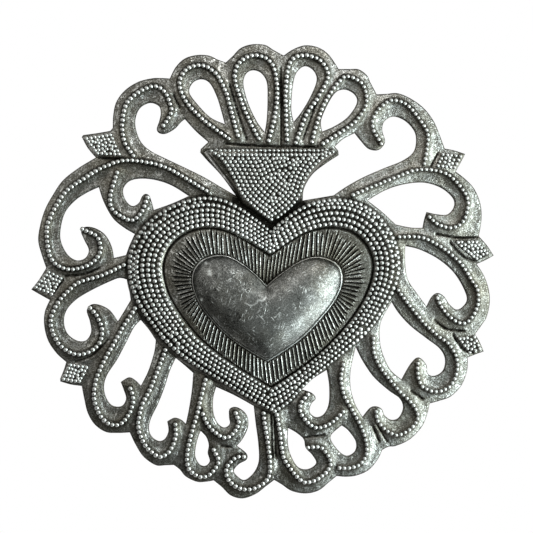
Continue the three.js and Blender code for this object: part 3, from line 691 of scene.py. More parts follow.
def beads_on(places, levels, seed, size=1.0, height=1.0, outward=None):
    """Beads at placed points, each a little different, as a hand punch makes them. They face straight
    outward if no directions are given."""
    hand = random.Random(seed)
    halves = np.broadcast_to(millimetres("bead_width") / 2 * np.asarray(size), len(places))
    heights = np.broadcast_to(height, len(places)) * halves
    outward = outward or [OUTWARD] * len(places)
    beads = []
    for (x, y), level, direction, half, rise in zip(places, levels, outward, halves, heights):
        wide = half * hand.uniform(0.94, 1.06)
        tall = rise * hand.uniform(0.54, 0.64)
        point = Vector((x, -level, y)) - Vector(direction) * BEAD_SINK * half
        beads.append((point * MILLIMETRE, direction, wide * MILLIMETRE, tall * MILLIMETRE))
    return beads


# The hammered sheet: roofs along the bead rows, chased lines, raised leaf tips.
class SheetRelief:
    """Levels and polish of the scroll sheet's front. Widths, gaps, rises and depths in millimetres."""

    ROOF_STEEPNESS, ROOF_REACH = 2.3, 6
    CORD_WIDTH, CORD_RISE = 0.95, 0.1
    DIP_GAP, DIP_WIDTH, DIP_DEPTH = 1.45, 0.35, 0.12
    CUT_WIDTH, CUT_DEPTH = 0.42, 0.75
    EDGE_WIDTH, EDGE_DROP = 0.7, 0.32
    LEAF_RISE = 0.5
    TUCK_DEPTH = 0.05

    def __init__(self):
        self.front = millimetres("sheet_thickness")
        self.rise = millimetres("ridge_rise")
        self.border = heart_line(BORDER_LINE, 512)
        self.crown = outline(CROWN_EDGE, FINE)
        self.leaves = [place(leaf) for leaf in LEAVES]
        self.edge_near = Nearness([outline(runs, FINE) for runs in [OUTER_EDGE] + OPENINGS])
        self.ridge_near = Nearness([smooth_line(place(line), FINE) for line in BEAD_LINES])
        self.groove_near = Nearness([smooth_line(place(line), FINE) for line in CHASED_LINES])
        self.leaf_near = Nearness([along_sides(leaf) for leaf in self.leaves])
        self.border_near = Nearness([self.border])
        self.crown_near = Nearness([self.crown])

    def under_plates(self, points):
        return inside(self.border, points) | inside(self.crown, points)

    def into_leaves(self, points):
        """How far points lie inside the leaf tips; 0 outside them."""
        found = np.logical_or.reduce([inside(leaf, points) for leaf in self.leaves])
        return np.where(found, self.leaf_near(points), 0)

    def __call__(self, points):
        """Levels above the wall, and polish, at points seen from the front."""
        edge, ridge, groove = (near(points) for near in (self.edge_near, self.ridge_near, self.groove_near))
        border, crown = self.border_near(points), self.crown_near(points)
        plate = np.minimum(border, crown)
        covered = self.under_plates(points)
        leaf = self.into_leaves(points)
        cut = hump(groove, self.CUT_WIDTH)
        cord = hump(ridge, self.CORD_WIDTH)
        beside = hump(ridge - self.DIP_GAP, self.DIP_WIDTH)

        # A roof from the edges up to the bead row, a cord under the beads and a dip beside it, chased
        # cuts, rounded edges, raised leaf tips, and a flat foot under the plates.
        roof = (edge / (edge + ridge + 0.05))**self.ROOF_STEEPNESS / (1 + (ridge / self.ROOF_REACH)**2)
        lift = self.rise * roof + self.CORD_RISE * cord - self.DIP_DEPTH * beside - self.CUT_DEPTH * cut
        lift += self.LEAF_RISE * ease(leaf, 0, 1) - self.EDGE_DROP * (1 - ease(edge, 0, self.EDGE_WIDTH))
        tucked = ease(plate, 0, 1)
        lift = np.where(covered, lift * (1 - tucked) - self.TUCK_DEPTH * tucked, lift)

        # Painted light to the right; patina beside the beads, in the cuts and on the leaf tips; painted shade
        # by the plates.
        satin = ease(points[:, 0], *LAMP_LIT_SIDE)
        # Dark beside the beads as patina, lessened on the lamp-lit right as painted light.
        crisp = (1 - 0.35 * satin) * (0.5 * hump(ridge, 1.25) + 0.22 * beside)
        # Painted light over the lamp-lit right, and painted shade over its far right edge.
        polish_and_shading = 0.56 + 0.05 * satin - 0.09 * ease(points[:, 0], 80, 108) - crisp - 0.6 * cut
        # A painted highlight just inside each cut edge, and painted shade on the edge itself.
        polish_and_shading += 0.06 * hump(edge - 0.85, 0.35) - 0.5 * (1 - ease(edge, 0.05, 0.5))
        polish_and_shading -= 0.36 * ease(leaf, 0, 0.6)
        # Painted shade under the plates and next to them.
        polish_and_shading -= 0.3 * np.where(covered, 1, hump(plate, 0.8))
        # Painted shadow in the gap between the border and the crown.
        polish_and_shading -= 0.6 * np.exp(-(np.maximum(border, crown) / 3.2)**4)
        return self.front + lift, np.clip(polish_and_shading, 0, 1)


def points_between(loops, step, near):
    """Points in even rows on the material between the closed lines, clear of the edges."""
    starts = np.vstack(loops)
    ends = np.vstack([np.roll(loop, -1, axis=0) for loop in loops])
    hand = np.random.default_rng(7)
    found = []
    rows = np.arange(starts[:, 1].min(), starts[:, 1].max(), step * math.sqrt(3) / 2)
    for index, level in enumerate(rows):
        crossed = (starts[:, 1] <= level) != (ends[:, 1] <= level)
        a, b = starts[crossed], ends[crossed]
        cuts = np.sort(a[:, 0] + (level - a[:, 1]) / (b[:, 1] - a[:, 1]) * (b[:, 0] - a[:, 0]))
        for left, right in zip(cuts[::2], cuts[1::2]):
            first = math.ceil(left / step + index % 2 / 2) - index % 2 / 2
            places = np.arange(first * step, right, step)
            found.append(np.column_stack([places, np.full(len(places), level)]))
    points = np.vstack(found)
    points = points + hand.uniform(-0.12, 0.12, points.shape) * step
    return points[near(points) > 0.5 * step]


def fill_between(loops, points):
    """Triangles on the material between the closed lines: their points, the number of each point in
    the lines, and the faces."""
    edges, start = [], 0
    for loop in loops:
        edges += [(start + i, start + (i + 1) % len(loop)) for i in range(len(loop))]
        start += len(loop)
    flat = [Vector(point) for point in np.vstack(loops + [points])]
    verts, _, faces, given, *_ = delaunay_2d_cdt(flat, edges, [], 1, 1e-6)
    found = np.array([vert[:] for vert in verts])
    numbers = np.array([min(indices, default=start) for indices in given])
    spans = [index for index, face in enumerate(faces) if (numbers[face] < start).all()]
    middles = np.array([found[faces[index]].mean(axis=0) for index in spans])
    solid = np.logical_xor.reduce([inside(loop, middles) for loop in loops])
    pierced = {index for index, kept in zip(spans, solid) if not kept}
    return found, numbers, [face for index, face in enumerate(faces) if index not in pierced]


def sheet_loops(step):
    """The sheet's closed lines: its edge, its openings and the cut-outs under the heart and the crown."""
    count = 2 * int(BORDER_LENGTH / step / 2)
    heart = mix(heart_line(BORDER_LINE, count), heart_line(RAY_LINE, count), BORDER_LAP)
    crown = mix(outline(CROWN_EDGE, step), place([CROWN_MIDDLE]), CROWN_LAP)
    return [outline(runs, step) for runs in [OUTER_EDGE] + OPENINGS] + [heart, crown]


def build_scroll_sheet():
    """The sheet: a front with relief, walls in two steps and a flat back."""
    step = millimetres("fineness")
    loops = sheet_loops(step)
    front, numbers, faces = fill_between(loops, points_between(loops, step, Nearness(loops)))
    levels, polish_and_shading = SheetRelief()(front)
    bm = bmesh.new()
    shine = bm.verts.layers.float.new("polish_and_shading")
    order = bm.verts.layers.int.new("step")
    made = [bm.verts.new(point) for point in to_metres(front, levels)]
    for vert, value, number in zip(made, polish_and_shading, numbers):
        vert[shine] = value
        vert[order] = number
    for face in faces:
        bm.faces.new([made[corner] for corner in face])
    rim = [edge for edge in bm.edges if edge.is_boundary]
    for depth, gloss in ((-0.3 * MILLIMETRE, 0.03), (0, 0.44)):
        walls = bmesh.ops.extrude_edge_only(bm, edges=rim)["geom"]
        foot = {vert[order]: vert for vert in only(walls, bmesh.types.BMVert)}
        for vert in foot.values():
            vert.co.y = depth
            vert[shine] = gloss
        rim = [edge for edge in only(walls, bmesh.types.BMEdge) if edge.is_boundary]
    _, numbers, faces = fill_between(loops, np.empty((0, 2)))
    for face in faces:
        bm.faces.new([foot[numbers[corner]] for corner in face])
    finish_piece(bm, "scroll_sheet_relief", aged_steel("Scroll steel", 1.0),
                 node="scroll_sheet", sharp=60)


def build_scroll_beads():
    """One row of beads on each ridge, smaller and flatter to the right."""
    relief = SheetRelief()
    pitch = millimetres("bead_pitch")
    rows = BeadRows(BEAD_ROOM * pitch)
    hand = random.Random(11)
    for line in BEAD_LINES:
        points = smooth_line(place(line), pitch)
        rows.add_shaken(points[~relief.under_plates(points)], hand, shake=0.08)
    places = np.array(rows.places)
    levels, _ = relief(places)
    soft = ease(places[:, 0], *LAMP_LIT_SIDE)
    bm = bead_field(beads_on(places, levels, seed=3, size=0.95 - 0.1 * soft, height=1 - 0.2 * soft))
    finish_piece(bm, "scroll_beads", bead_steel("Scroll bead steel", 1.0, 0.82))


def build_leaf_beads():
    """Beads on the leaf tips: one row along the edge, rounder rows inside it, then the holes."""
    relief = SheetRelief()
    pitch = 0.84 * millimetres("bead_pitch")
    rows = BeadRows(BEAD_ROOM * pitch)
    hand = random.Random(17)
    for leaf in relief.leaves:
        middle = leaf.mean(axis=0)
        half = Nearness([along_sides(leaf)])([middle])[0]
        for inset in np.linspace(LEAF_EDGE, 0.97 * half, 1 + round((half - LEAF_EDGE) / pitch)):
            ring = mix(leaf, middle, inset / half)
            if inset > LEAF_EDGE:
                ring = mix(ring, np.roll(ring, -1, axis=0), 0.5)
                ring = smooth_line(np.vstack([ring, ring[:1]]), 0.6 * pitch)[:-1]
            for side in sides_of(ring):
                rows.add_shaken(smooth_line(side, pitch)[:-1], hand, shake=0.15)
        rows.fill(points_inside(mix(leaf, middle, LEAF_EDGE / half)), 0.84)
    places = np.array(rows.places)
    levels, _ = relief(places)
    bm = bead_field(beads_on(places, levels, seed=5, size=0.86))
    finish_piece(bm, "leaf_beads", bead_steel("Leaf bead steel", 0.95, 0.8))


# The heart: a convex border, a ring of rays and a dome.
def border_level(share):
    """Level of the border's front across its width, from its outer edge to its inner lip."""
    foot = 2 * millimetres("sheet_thickness")
    shares = [0, 0.05, 0.13, 0.25, 0.38, 0.52, 0.66, 0.8, 0.92, 0.98, 1]
    rises = [0, 0.30, 0.55, 0.78, 0.93, 1, 0.985, 0.90, 0.72, 0.56, 0.42]
    return foot + (millimetres("border_crest") - foot) * np.interp(share, shares, rises)


def build_border_band():
    """The band under the beads: dark patina between a lighter foot and a lip with a painted highlight, with a
    hollow back.
    """
    count = 480
    outer, inner = heart_line(BORDER_LINE, count), heart_line(RAY_LINE, count)
    sheet = millimetres("sheet_thickness")
    under = millimetres("border_lip") - PLATE
    band = Band()
    band.add(outer, sheet, 0.1)
    for share in np.concatenate([[0, 0.015, 0.05], np.linspace(0.1, 0.95, 18), [0.985, 1]]):
        # Lighter foot, dark patina under the beads, and a painted highlight on the inner lip.
        polish_and_shading = np.interp(share, [0, 0.1, 0.14, 0.9, 0.95], [0.25, 0.25, 0.06, 0.06, 0.55])
        band.add(mix(outer, inner, share), border_level(share), polish_and_shading)
    band.add(inner, under, 0.1)
    band.add(mix(outer, inner, 1 - RING_LAP), under, UNDERSIDE)
    for share in (0.78, 0.55, 0.3, 0.16):
        band.add(mix(outer, inner, share), border_level(share) - PLATE, UNDERSIDE)
    band.add(mix(outer, inner, 0.12), sheet, UNDERSIDE)
    bm = band.mesh(UNDERSIDE)
    finish_piece(bm, "border_band", aged_steel("Border steel", 0.8), node="heart_border")


class BorderBeads:
    """Beads on the border: rows round the heart, then the holes that are left. Each bead has a place,
    its share across the band, the number of its spot round the heart and its size. Pitches and rooms
    in millimetres."""

    ROOM = 1.9
    PITCH, LEAST_PITCH, ROW_PITCH = 2.4, 2.3, 2.6
    CROWN_ROOM_LEFT, CROWN_ROOM_RIGHT = 1.8, 1.15
    FILLER_SIZE = 0.92
    SHAKE = 0.1

    def __init__(self):
        self.count = 4096
        self.outer = heart_line(BORDER_LINE, self.count)
        self.across = heart_line(RAY_LINE, self.count) - self.outer
        self.turn = np.arange(self.count) / self.count
        self.first = np.where(self.turn < 0.5, 0.09 + 0.13 * ease(self.turn, 0.2, 0.34), 0.1)
        self.last = np.where(self.turn < 0.5, 0.895, 0.9)
        self.crown_near = Nearness([outline(CROWN_EDGE, FINE)])
        self.rows = BeadRows(self.ROOM)
        self.beads = []
        self.add_rows(random.Random(23))
        self.fill_holes()

    def width(self):
        """Width of the band round the heart, evened out."""
        window = np.full(301, 1 / 301)
        return np.convolve(np.tile(lengths(self.across), 3), window, "same")[self.count:2 * self.count]

    def add_rows(self, hand):
        """Six rows on the left lobe, four where the right side is narrow and five elsewhere."""
        width = self.width()
        counts = np.where(self.turn < 0.33, 6, np.where((self.turn > 0.5) & (width < 11), 4, 5))
        crown_middle = place([CROWN_MIDDLE])[0, 0]
        for count in np.unique(counts)[::-1]:
            sizes = width * (self.last - self.first) / (count - 1) / self.ROW_PITCH
            sizes = np.clip(sizes, 0.86, 1.06)
            for index in range(count):
                share = mix(self.first, self.last, (index / (count - 1))**0.88)
                line = self.outer + self.across * share[:, None]
                gaps = lengths(np.diff(line, axis=0, append=line[:1]))
                travelled = hand.uniform(1.2, 2.2)
                for spot in np.flatnonzero(counts == count):
                    travelled += gaps[spot]
                    if travelled >= max(self.PITCH * sizes[spot], self.LEAST_PITCH):
                        shift = [hand.uniform(-self.SHAKE, self.SHAKE) for _ in range(2)]
                        x, y = line[spot] + shift
                        room = self.CROWN_ROOM_RIGHT if x > crown_middle else self.CROWN_ROOM_LEFT
                        if self.crown_near([(x, y)])[0] > room and self.rows.add(x, y):
                            self.beads.append((share[spot], spot, sizes[spot]))
                            travelled = 0

    def fill_holes(self):
        """Fills the wide holes, and next to the cleft the smaller ones too."""
        every, lanes = 8, 16
        spots = np.repeat(np.arange(0, self.count, every), lanes)
        lane = np.tile(np.linspace(0, 1, lanes), self.count // every)
        shares = mix(self.first[spots], self.last[spots], lane)
        points = self.outer[spots] + self.across[spots] * shares[:, None]
        clear = self.crown_near(points) > self.CROWN_ROOM_LEFT
        cleft = np.abs(self.turn[spots] - 0.5) > 0.46
        for free, limit in ((clear, 0.97), (clear & cleft, 0.84)):
            numbers = np.flatnonzero(free)
            for index in numbers[self.rows.fill(points[numbers], limit)]:
                self.beads.append((shares[index], spots[index], self.FILLER_SIZE))


def build_border_beads():
    """The border's beads, tilted a little with the band's slope."""
    field = BorderBeads()
    shares, spots, sizes = (np.array(column) for column in zip(*field.beads))
    across = field.across[spots]
    slope = (border_level(shares + 0.02) - border_level(shares - 0.02)) / 0.04
    tilt = 0.35 * slope[:, None] * across / (across**2).sum(axis=1)[:, None]
    outward = [Vector((-x, -1, -y)).normalized() for x, y in tilt]
    beads = beads_on(field.rows.places, border_level(shares), seed=9, size=0.94 * sizes, outward=outward)
    bm = bead_field(beads)
    finish_piece(bm, "border_beads", bead_steel("Border bead steel", 0.86, 0.79))


def ray_aims(dome, outer):
    """For each point of the dome's line, the number of the outer point that its ray aims at."""
    count = len(dome)
    half = count // 2
    knots = []
    for line, ends in zip((dome, outer), np.array(RAY_COURSE).transpose(1, 0, 2)):
        mirrored = ends * (-1, 1) + (2 * RAY_MIRROR, 0)
        left = [nearest(line[:half + 1], point) for point in place(ends)]
        right = [half + nearest(line[half:], point) for point in place(mirrored[::-1])]
        knots.append(np.array([0] + left[1:-1] + [half] + right[1:-1] + [count]))
    return np.round(np.interp(np.arange(count), *knots)).astype(int) % count


def build_ray_ring():
    """The ring: rays of uneven length and strength, a seam at the dome darkened as painted shade, painted
    shadow and a painted highlight at its outer edge, painted light on its left, and a lap under the border.
    """
    count = bpy.context.scene.ornament_sizes.ray_count
    depth, edge, rise = millimetres("ray_depth"), millimetres("ring_edge"), millimetres("ring_rise")
    fine = 24 * count
    dome, outer = heart_line(DOME_LINE, fine), heart_line(RAY_LINE, fine)
    aims = ray_aims(dome, outer)
    middles = mix(outer[aims], dome, 0.35)
    travelled = np.cumsum(lengths(np.diff(middles, axis=0, append=middles[:1])))
    along = ((np.arange(count)[:, None] + RAY_SHARES) / count).ravel()
    pick = np.searchsorted(travelled, along * travelled[-1]) % fine
    aim = aims[pick]
    outer, dome, border = outer[aim], dome[pick], heart_line(BORDER_LINE, fine)[aim]

    hand = np.random.default_rng(31)
    length = np.repeat(hand.uniform(-0.09, 0.07, count), len(RAY_SHARES))
    strength = np.repeat(hand.uniform(0.75, 1.1, count), len(RAY_SHARES))
    end = 0.06 + 0.21 * ease(np.abs(outer[:, 0]), 22, 50) + length
    # Painted light on the ring's left side, away from the key lamp.
    land = 0.41 + 0.08 * ease(-outer[:, 0], 15, 45)
    under = mix(outer, border, RING_LAP)
    band = Band()
    band.add(under, edge - PLATE, UNDERSIDE)
    band.add(under, edge - 0.2, 0.1)
    for share in np.concatenate([[0, 0.02], np.linspace(0.05, 0.95, 19), [0.975, 0.99]]):
        fade = ease(share, end, end + 0.12) * (1 - ease(share, 0.94, 0.97))
        cut = np.tile(RAY_CUTS, count) * strength * fade
        # The seam is a shallow groove at the dome, darkened further as painted shade.
        seam = 0.3 * hump(share - 0.975, 0.022)
        level = edge + rise * share - depth * 1.25 * cut - seam
        shine = land - 0.56 * np.maximum(cut, 0) - 0.75 * np.minimum(cut, 0) - 1.6 * seam
        # Painted shadow under the border's lip along the outer edge, and a painted highlight just inside it.
        shine = shine - 0.44 * (share < 0.06) + 0.12 * (0.06 < share < 0.12)
        band.add(mix(outer, dome, share), level, np.clip(shine, 0, 1))
    seat = mix(dome, place([DOME_MIDDLE]), DOME_LAP)
    band.add(seat, edge + rise, 0.1)
    band.add(seat, edge + rise - PLATE, UNDERSIDE)
    bm = band.mesh(UNDERSIDE)
    finish_piece(bm, "ray_plate", aged_steel("Ray steel", 0.7), node="ray_ring", sharp=75)


class DomeRelief:
    """Levels and polish of the dome's front."""

    def __init__(self):
        self.line = heart_line(DOME_LINE, 96)
        self.middle = place([DOME_MIDDLE])
        self.seat = millimetres("ring_edge") + millimetres("ring_rise")
        self.rise = millimetres("dome_rise")
        self.deepest = self.depth(self.middle)[0]
        self.smear_near = Nearness([smooth_line(place(DOME_SMEAR), 0.2)])
        self.glint_near = Nearness([place(DOME_GLINTS)])
        self.shade_spot_near = Nearness([place(DOME_SHADE_SPOTS)])

    def depth(self, points):
        """How deep points lie inside the heart, softly measured to its whole line."""
        gaps = np.hypot(*(points[:, None, axis] - self.line[None, :, axis] for axis in (0, 1)))
        return (np.maximum(gaps, 1e-3) ** -3.0).sum(axis=1) ** -0.5

    def level(self, points, share):
        """A swell that follows the heart line under a round vault, behind a low step at the edge."""
        swell = 1 - (1 - np.minimum(self.depth(points) / self.deepest, 1)) ** 1.9
        vault = 1 - (((points - self.middle) / DOME_SPREAD)**2).sum(axis=1)
        step = ease(share, -0.03, 0.035)
        return self.seat + 0.2 + (self.rise - 0.2) * step * (0.12 + 0.5 * swell + 0.38 * vault)

    def polish_and_shading(self, points):
        """A bright smear, painted glints, spots of painted shade, and painted shade over the left side."""
        bright = 0.42 * hump(self.smear_near(points), 0.5) + 0.6 * hump(self.glint_near(points), 1.05)
        left = self.middle[0, 0] - points[:, 0]
        return 0.52 + bright - 0.1 * hump(self.shade_spot_near(points), 8) - 0.07 * ease(left, -6, 14)


def build_heart_dome():
    """The dome: a rolled lip with a painted highlight, painted shade at the edge and at the foot inside it,
    the front and a hollow back.
    """
    relief = DomeRelief()
    seat, middle = relief.seat, relief.middle
    edge = heart_line(DOME_LINE, 360)
    inward = (middle - edge) / lengths(edge - middle)[:, None]
    lip, foot = edge + 0.55 * inward, edge + 0.8 * inward
    band = Band()
    # Painted shade at the edge and at the foot, and a painted highlight on the lip.
    band.add(edge, seat - 0.1, 0.05)
    band.add(edge, seat + 0.3, 0.6)
    band.add(lip, seat + 0.4, 0.8)
    band.add(foot, seat + 0.15, 0.05)
    for share in np.concatenate([[0.01, 0.022, 0.036], np.linspace(0.055, 0.985, 60), [1]]):
        points = mix(foot, middle, share)
        band.add(points, relief.level(points, share), relief.polish_and_shading(points))
    for share in (1, 0.75, 0.5, 0.25, DOME_LAP + 0.02):
        points = mix(edge, middle, share)
        band.add(points, np.maximum(relief.level(points, share) - PLATE, seat), 0.33)
    band.add(mix(edge, middle, DOME_LAP), seat - 0.1, 0.35)
    bm = band.mesh(0.05)
    finish_piece(bm, "dome_shell", burnished_steel("Dome steel"), node="heart_dome")


# The crown panel with its field of beads.
def crown_level(share):
    """Level of the panel's front from its edge to its middle."""
    foot = 2 * millimetres("sheet_thickness")
    rise = np.interp(share, [0, 0.02, 0.05, 0.09, 0.14, 1], [0, 0.12, 0.6, 0.88, 0.95, 1])
    return foot + (millimetres("crown_front") - foot) * rise


def crown_share(points):
    """How far points lie on the way from the panel's edge to its middle."""
    middle = place([CROWN_MIDDLE])
    rims, spokes = outline(CROWN_EDGE, 0.6) - middle, points - middle
    angles = np.arctan2(rims[:, 1], rims[:, 0])
    order = np.argsort(angles)
    reach = np.interp(np.arctan2(spokes[:, 1], spokes[:, 0]), angles[order], lengths(rims)[order],
                      period=2 * math.pi)
    return 1 - lengths(spokes) / reach


def build_crown_plate():
    """The panel: dark under its beads, with a worn edge and a worn roll along its left side."""
    edge, middle = outline(CROWN_EDGE, 0.6), place([CROWN_MIDDLE])
    sheet = millimetres("sheet_thickness")
    edge_near = Nearness([outline(CROWN_EDGE, FINE)])
    band = Band()
    band.add(edge, sheet, 0.15)
    for share in (0, 0.008, 0.02, 0.035, 0.05, 0.07, 0.09, 0.12, 0.16, 0.2, 0.3, 0.5, 0.7, 1):
        points = mix(edge, middle, share)
        gap = edge_near(points)
        roll = hump(gap - 2.1, 0.75) * ease(middle[0, 0] - points[:, 0], 3, 12)
        band.add(points, crown_level(share), 0.08 + 0.5 * hump(gap - 0.7, 0.55) + 0.5 * roll)
    for share in (1, 0.5, 0.22):
        band.add(mix(edge, middle, share), millimetres("crown_front") - PLATE, UNDERSIDE)
    band.add(mix(edge, middle, CROWN_LAP), sheet, UNDERSIDE)
    bm = band.mesh(0.15)
    finish_piece(bm, "crown_plate", aged_steel("Crown steel", 0.8), node="crown_panel")


def build_crown_beads():
    """Beads on the panel: its two sides, two rows at the top, rows beside the sides, then the holes."""
    sides = [smooth_line(place(row), FINE) for row in (CROWN_LEFT_ROW, CROWN_RIGHT_ROW)]
    field = np.vstack(sides + [place(CROWN_CORNERS)])
    pitch = 0.9 * millimetres("bead_pitch")
    rows = BeadRows(BEAD_ROOM * pitch)
    hand = random.Random(41)
    for side in sides:
        rows.add_shaken(smooth_line(side[::8], pitch), hand, shake=0.05)
    for row in CROWN_TOP_ROWS:
        line = smooth_line(place(row), pitch)
        rows.add_shaken(line[inside(field, line)], hand, shake=0.05)
    top = place([(0, CROWN_TOP_END)])[0, 1]
    for side, count in zip(reversed(sides), (4, 18)):
        near = Nearness([side])
        heading = np.gradient(side, axis=0)
        normal = np.column_stack([-heading[:, 1], heading[:, 0]]) / lengths(heading)[:, None]
        for index in range(1, count):
            line = smooth_line((side + normal * pitch * 0.98 * index)[::8], pitch)
            free = inside(field, line) & (line[:, 1] < top)
            free &= near(line) > pitch * (0.98 * index - 0.12)
            rows.add_shaken(line[free], hand, shake=0.05)
    rows.fill(points_inside(field), 0.86)
    places = np.array(rows.places)
    bm = bead_field(beads_on(places, crown_level(crown_share(places)), seed=13, size=0.9))
    finish_piece(bm, "crown_beads", bead_steel("Crown bead steel", 0.8, 0.74))


# The hanger in the crown's hollow.
def hinge():
    """Middle of the ring's hinge."""
    return Vector(frame["joints"][0]["pos_m"])


def round_edges(bm, edges, radius, segments):
    bmesh.ops.bevel(bm, geom=edges, offset=radius, offset_type="OFFSET", affect="EDGES", segments=segments,
                    profile=0.5, material=-1)


def build_hanger_strap():
    """The strap: a plate with rounded corners and the barrel that holds the ring's wire."""
    low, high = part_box("hanger_strap")
    pivot = hinge()
    bm = bmesh.new()
    middle = Vector(((low.x + high.x) / 2, low.y + STRAP_PLATE / 2, (low.z + high.z) / 2))
    size = Matrix.Diagonal((high.x - low.x, STRAP_PLATE, high.z - low.z, 1))
    bmesh.ops.create_cube(bm, size=1, matrix=Matrix.Translation(middle) @ size)

    def depth(edge):
        return abs(edge.verts[0].co.y - edge.verts[1].co.y)

    round_edges(bm, [edge for edge in bm.edges if depth(edge) > STRAP_PLATE / 2], STRAP_CORNER, 5)
    round_edges(bm, [edge for edge in bm.edges if depth(edge) < 1e-6], STRAP_ROUNDING, 2)
    bore = bpy.context.scene.ornament_sizes.wire / 2 + WIRE_PLAY
    barrel = abs(high.y - pivot.y)
    corners = [(-BARREL_HALF, bore), (-BARREL_HALF, barrel), (BARREL_HALF, barrel), (BARREL_HALF, bore)]
    verts = [bm.verts.new(pivot + Vector((x, 0, radius))) for x, radius in corners]
    section = [bm.edges.new(pair) for pair in zip(verts, verts[1:] + verts[:1])]
    bmesh.ops.spin(bm, geom=verts + section, cent=pivot, axis=(1, 0, 0), angle=2 * math.pi, steps=40,
                   use_merge=True)
    shine = bm.verts.layers.float.new("polish_and_shading")
    for vert in bm.verts:
        vert[shine] = 0.55
    finish_piece(bm, "hanger_strap_plate", aged_steel("Hanger steel", 0.6),
                 node="hanger_strap", sharp=40)


def build_hanger_ring():
    """The ring: a round wire bent to a half circle, two legs and a straight top that turns in the barrel."""
    ring_low, ring_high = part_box("hanger_ring")
    pivot = hinge()
    wire = bpy.context.scene.ornament_sizes.wire
    side = (ring_high.x - ring_low.x - wire) / 2
    bottom = ring_low.z + wire / 2 - pivot.z
    bow = [(side * math.cos(turn), bottom + side + side * math.sin(turn))
           for turn in np.linspace(0, -math.pi, 25)]
    left = [(-side + RING_CORNER * (1 - math.cos(turn)), -RING_CORNER + RING_CORNER * math.sin(turn))
            for turn in np.linspace(0, math.pi / 2, 6)]
    right = [(-x, z) for x, z in reversed(left)]
    course = np.array(bow + left + right)
    heading = np.roll(course, -1, axis=0) - np.roll(course, 1, axis=0)
    heading = heading / lengths(heading)[:, None]
    turns = np.linspace(0, 2 * math.pi, 16, endpoint=False)
    sideways, outward = wire / 2 * np.cos(turns), wire / 2 * np.sin(turns)
    rows = []
    for (x, z), (forward_x, forward_z) in zip(course, heading):
        rows.append(np.column_stack([
            pivot.x + x - forward_z * sideways,
            pivot.y + outward,
            pivot.z + z + forward_x * sideways,
        ]))
    bm = loft(rows + rows[:1], [0.6] * (len(rows) + 1))
    finish_piece(bm, "hanger_wire_ring", aged_steel("Ring steel", 0.5), body="ring",
                 node="hanger_ring", sharp=60)


# Nodes: short ways to add one to a tree and get its output.
def feed(tree, node, inputs):
    """Sets each input of a node to a value, or links it to the socket that feeds it."""
    for key, value in inputs.items():
        if isinstance(value, bpy.types.NodeSocket):
            tree.links.new(value, node.inputs[key])
        else:
            node.inputs[key].default_value = value


def add_node(tree, kind, inputs=None, **settings):
    node = tree.nodes.new("ShaderNode" + kind)
    for name, value in settings.items():
        setattr(node, name, value)
    feed(tree, node, inputs or {})
    return node


def calculate(tree, operation, *values):
    return add_node(tree, "Math", dict(enumerate(values)), operation=operation).outputs[0]


def noise(tree, where, scale, detail, roughness=0.5):
    inputs = {"Vector": where, "Scale": scale, "Detail": detail, "Roughness": roughness}
    return add_node(tree, "TexNoise", inputs).outputs["Fac"]


def remap(tree, value, given, wanted=(0, 1), curve="LINEAR"):
    """A value's given range turned into the wanted one."""
    inputs = {"Value": value, "From Min": given[0], "From Max": given[1],
              "To Min": wanted[0], "To Max": wanted[1]}
    return add_node(tree, "MapRange", inputs, interpolation_type=curve).outputs[0]


def blend(tree, share, first, second, way="MIX"):
    inputs = {"Factor": share, 6: first, 7: second}
    return add_node(tree, "Mix", inputs, data_type="RGBA", blend_type=way).outputs[2]


def bump(tree, height, strength, depth):
    return add_node(tree, "Bump", {"Strength": strength, "Distance": depth, "Height": height}).outputs[0]


def from_left(tree, where, left, right):
    """One value on the left and in the middle of the ornament, another on its lamp-lit right side as painted
    shade.
    """
    across = add_node(tree, "SeparateXYZ", {"Vector": where}).outputs["X"]
    return remap(tree, across, LAMP_LIT_SIDE_METRES, (left, right))


# Finishes.
def start_group(name, inputs, outputs):
    """A new node group: its inputs by their defaults, its outputs by their kinds."""
    tree = bpy.data.node_groups.new(name, "ShaderNodeTree")
    for label, value in inputs.items():
        kind = {1: "Float", 3: "Vector", 4: "Color"}[np.size(value)]
        socket = tree.interface.new_socket(label, in_out="INPUT", socket_type="NodeSocket" + kind)
        socket.default_value = value
    for label, kind in outputs.items():
        tree.interface.new_socket(label, in_out="OUTPUT", socket_type="NodeSocket" + kind)
    return tree, tree.nodes.new("NodeGroupInput").outputs, tree.nodes.new("NodeGroupOutput")


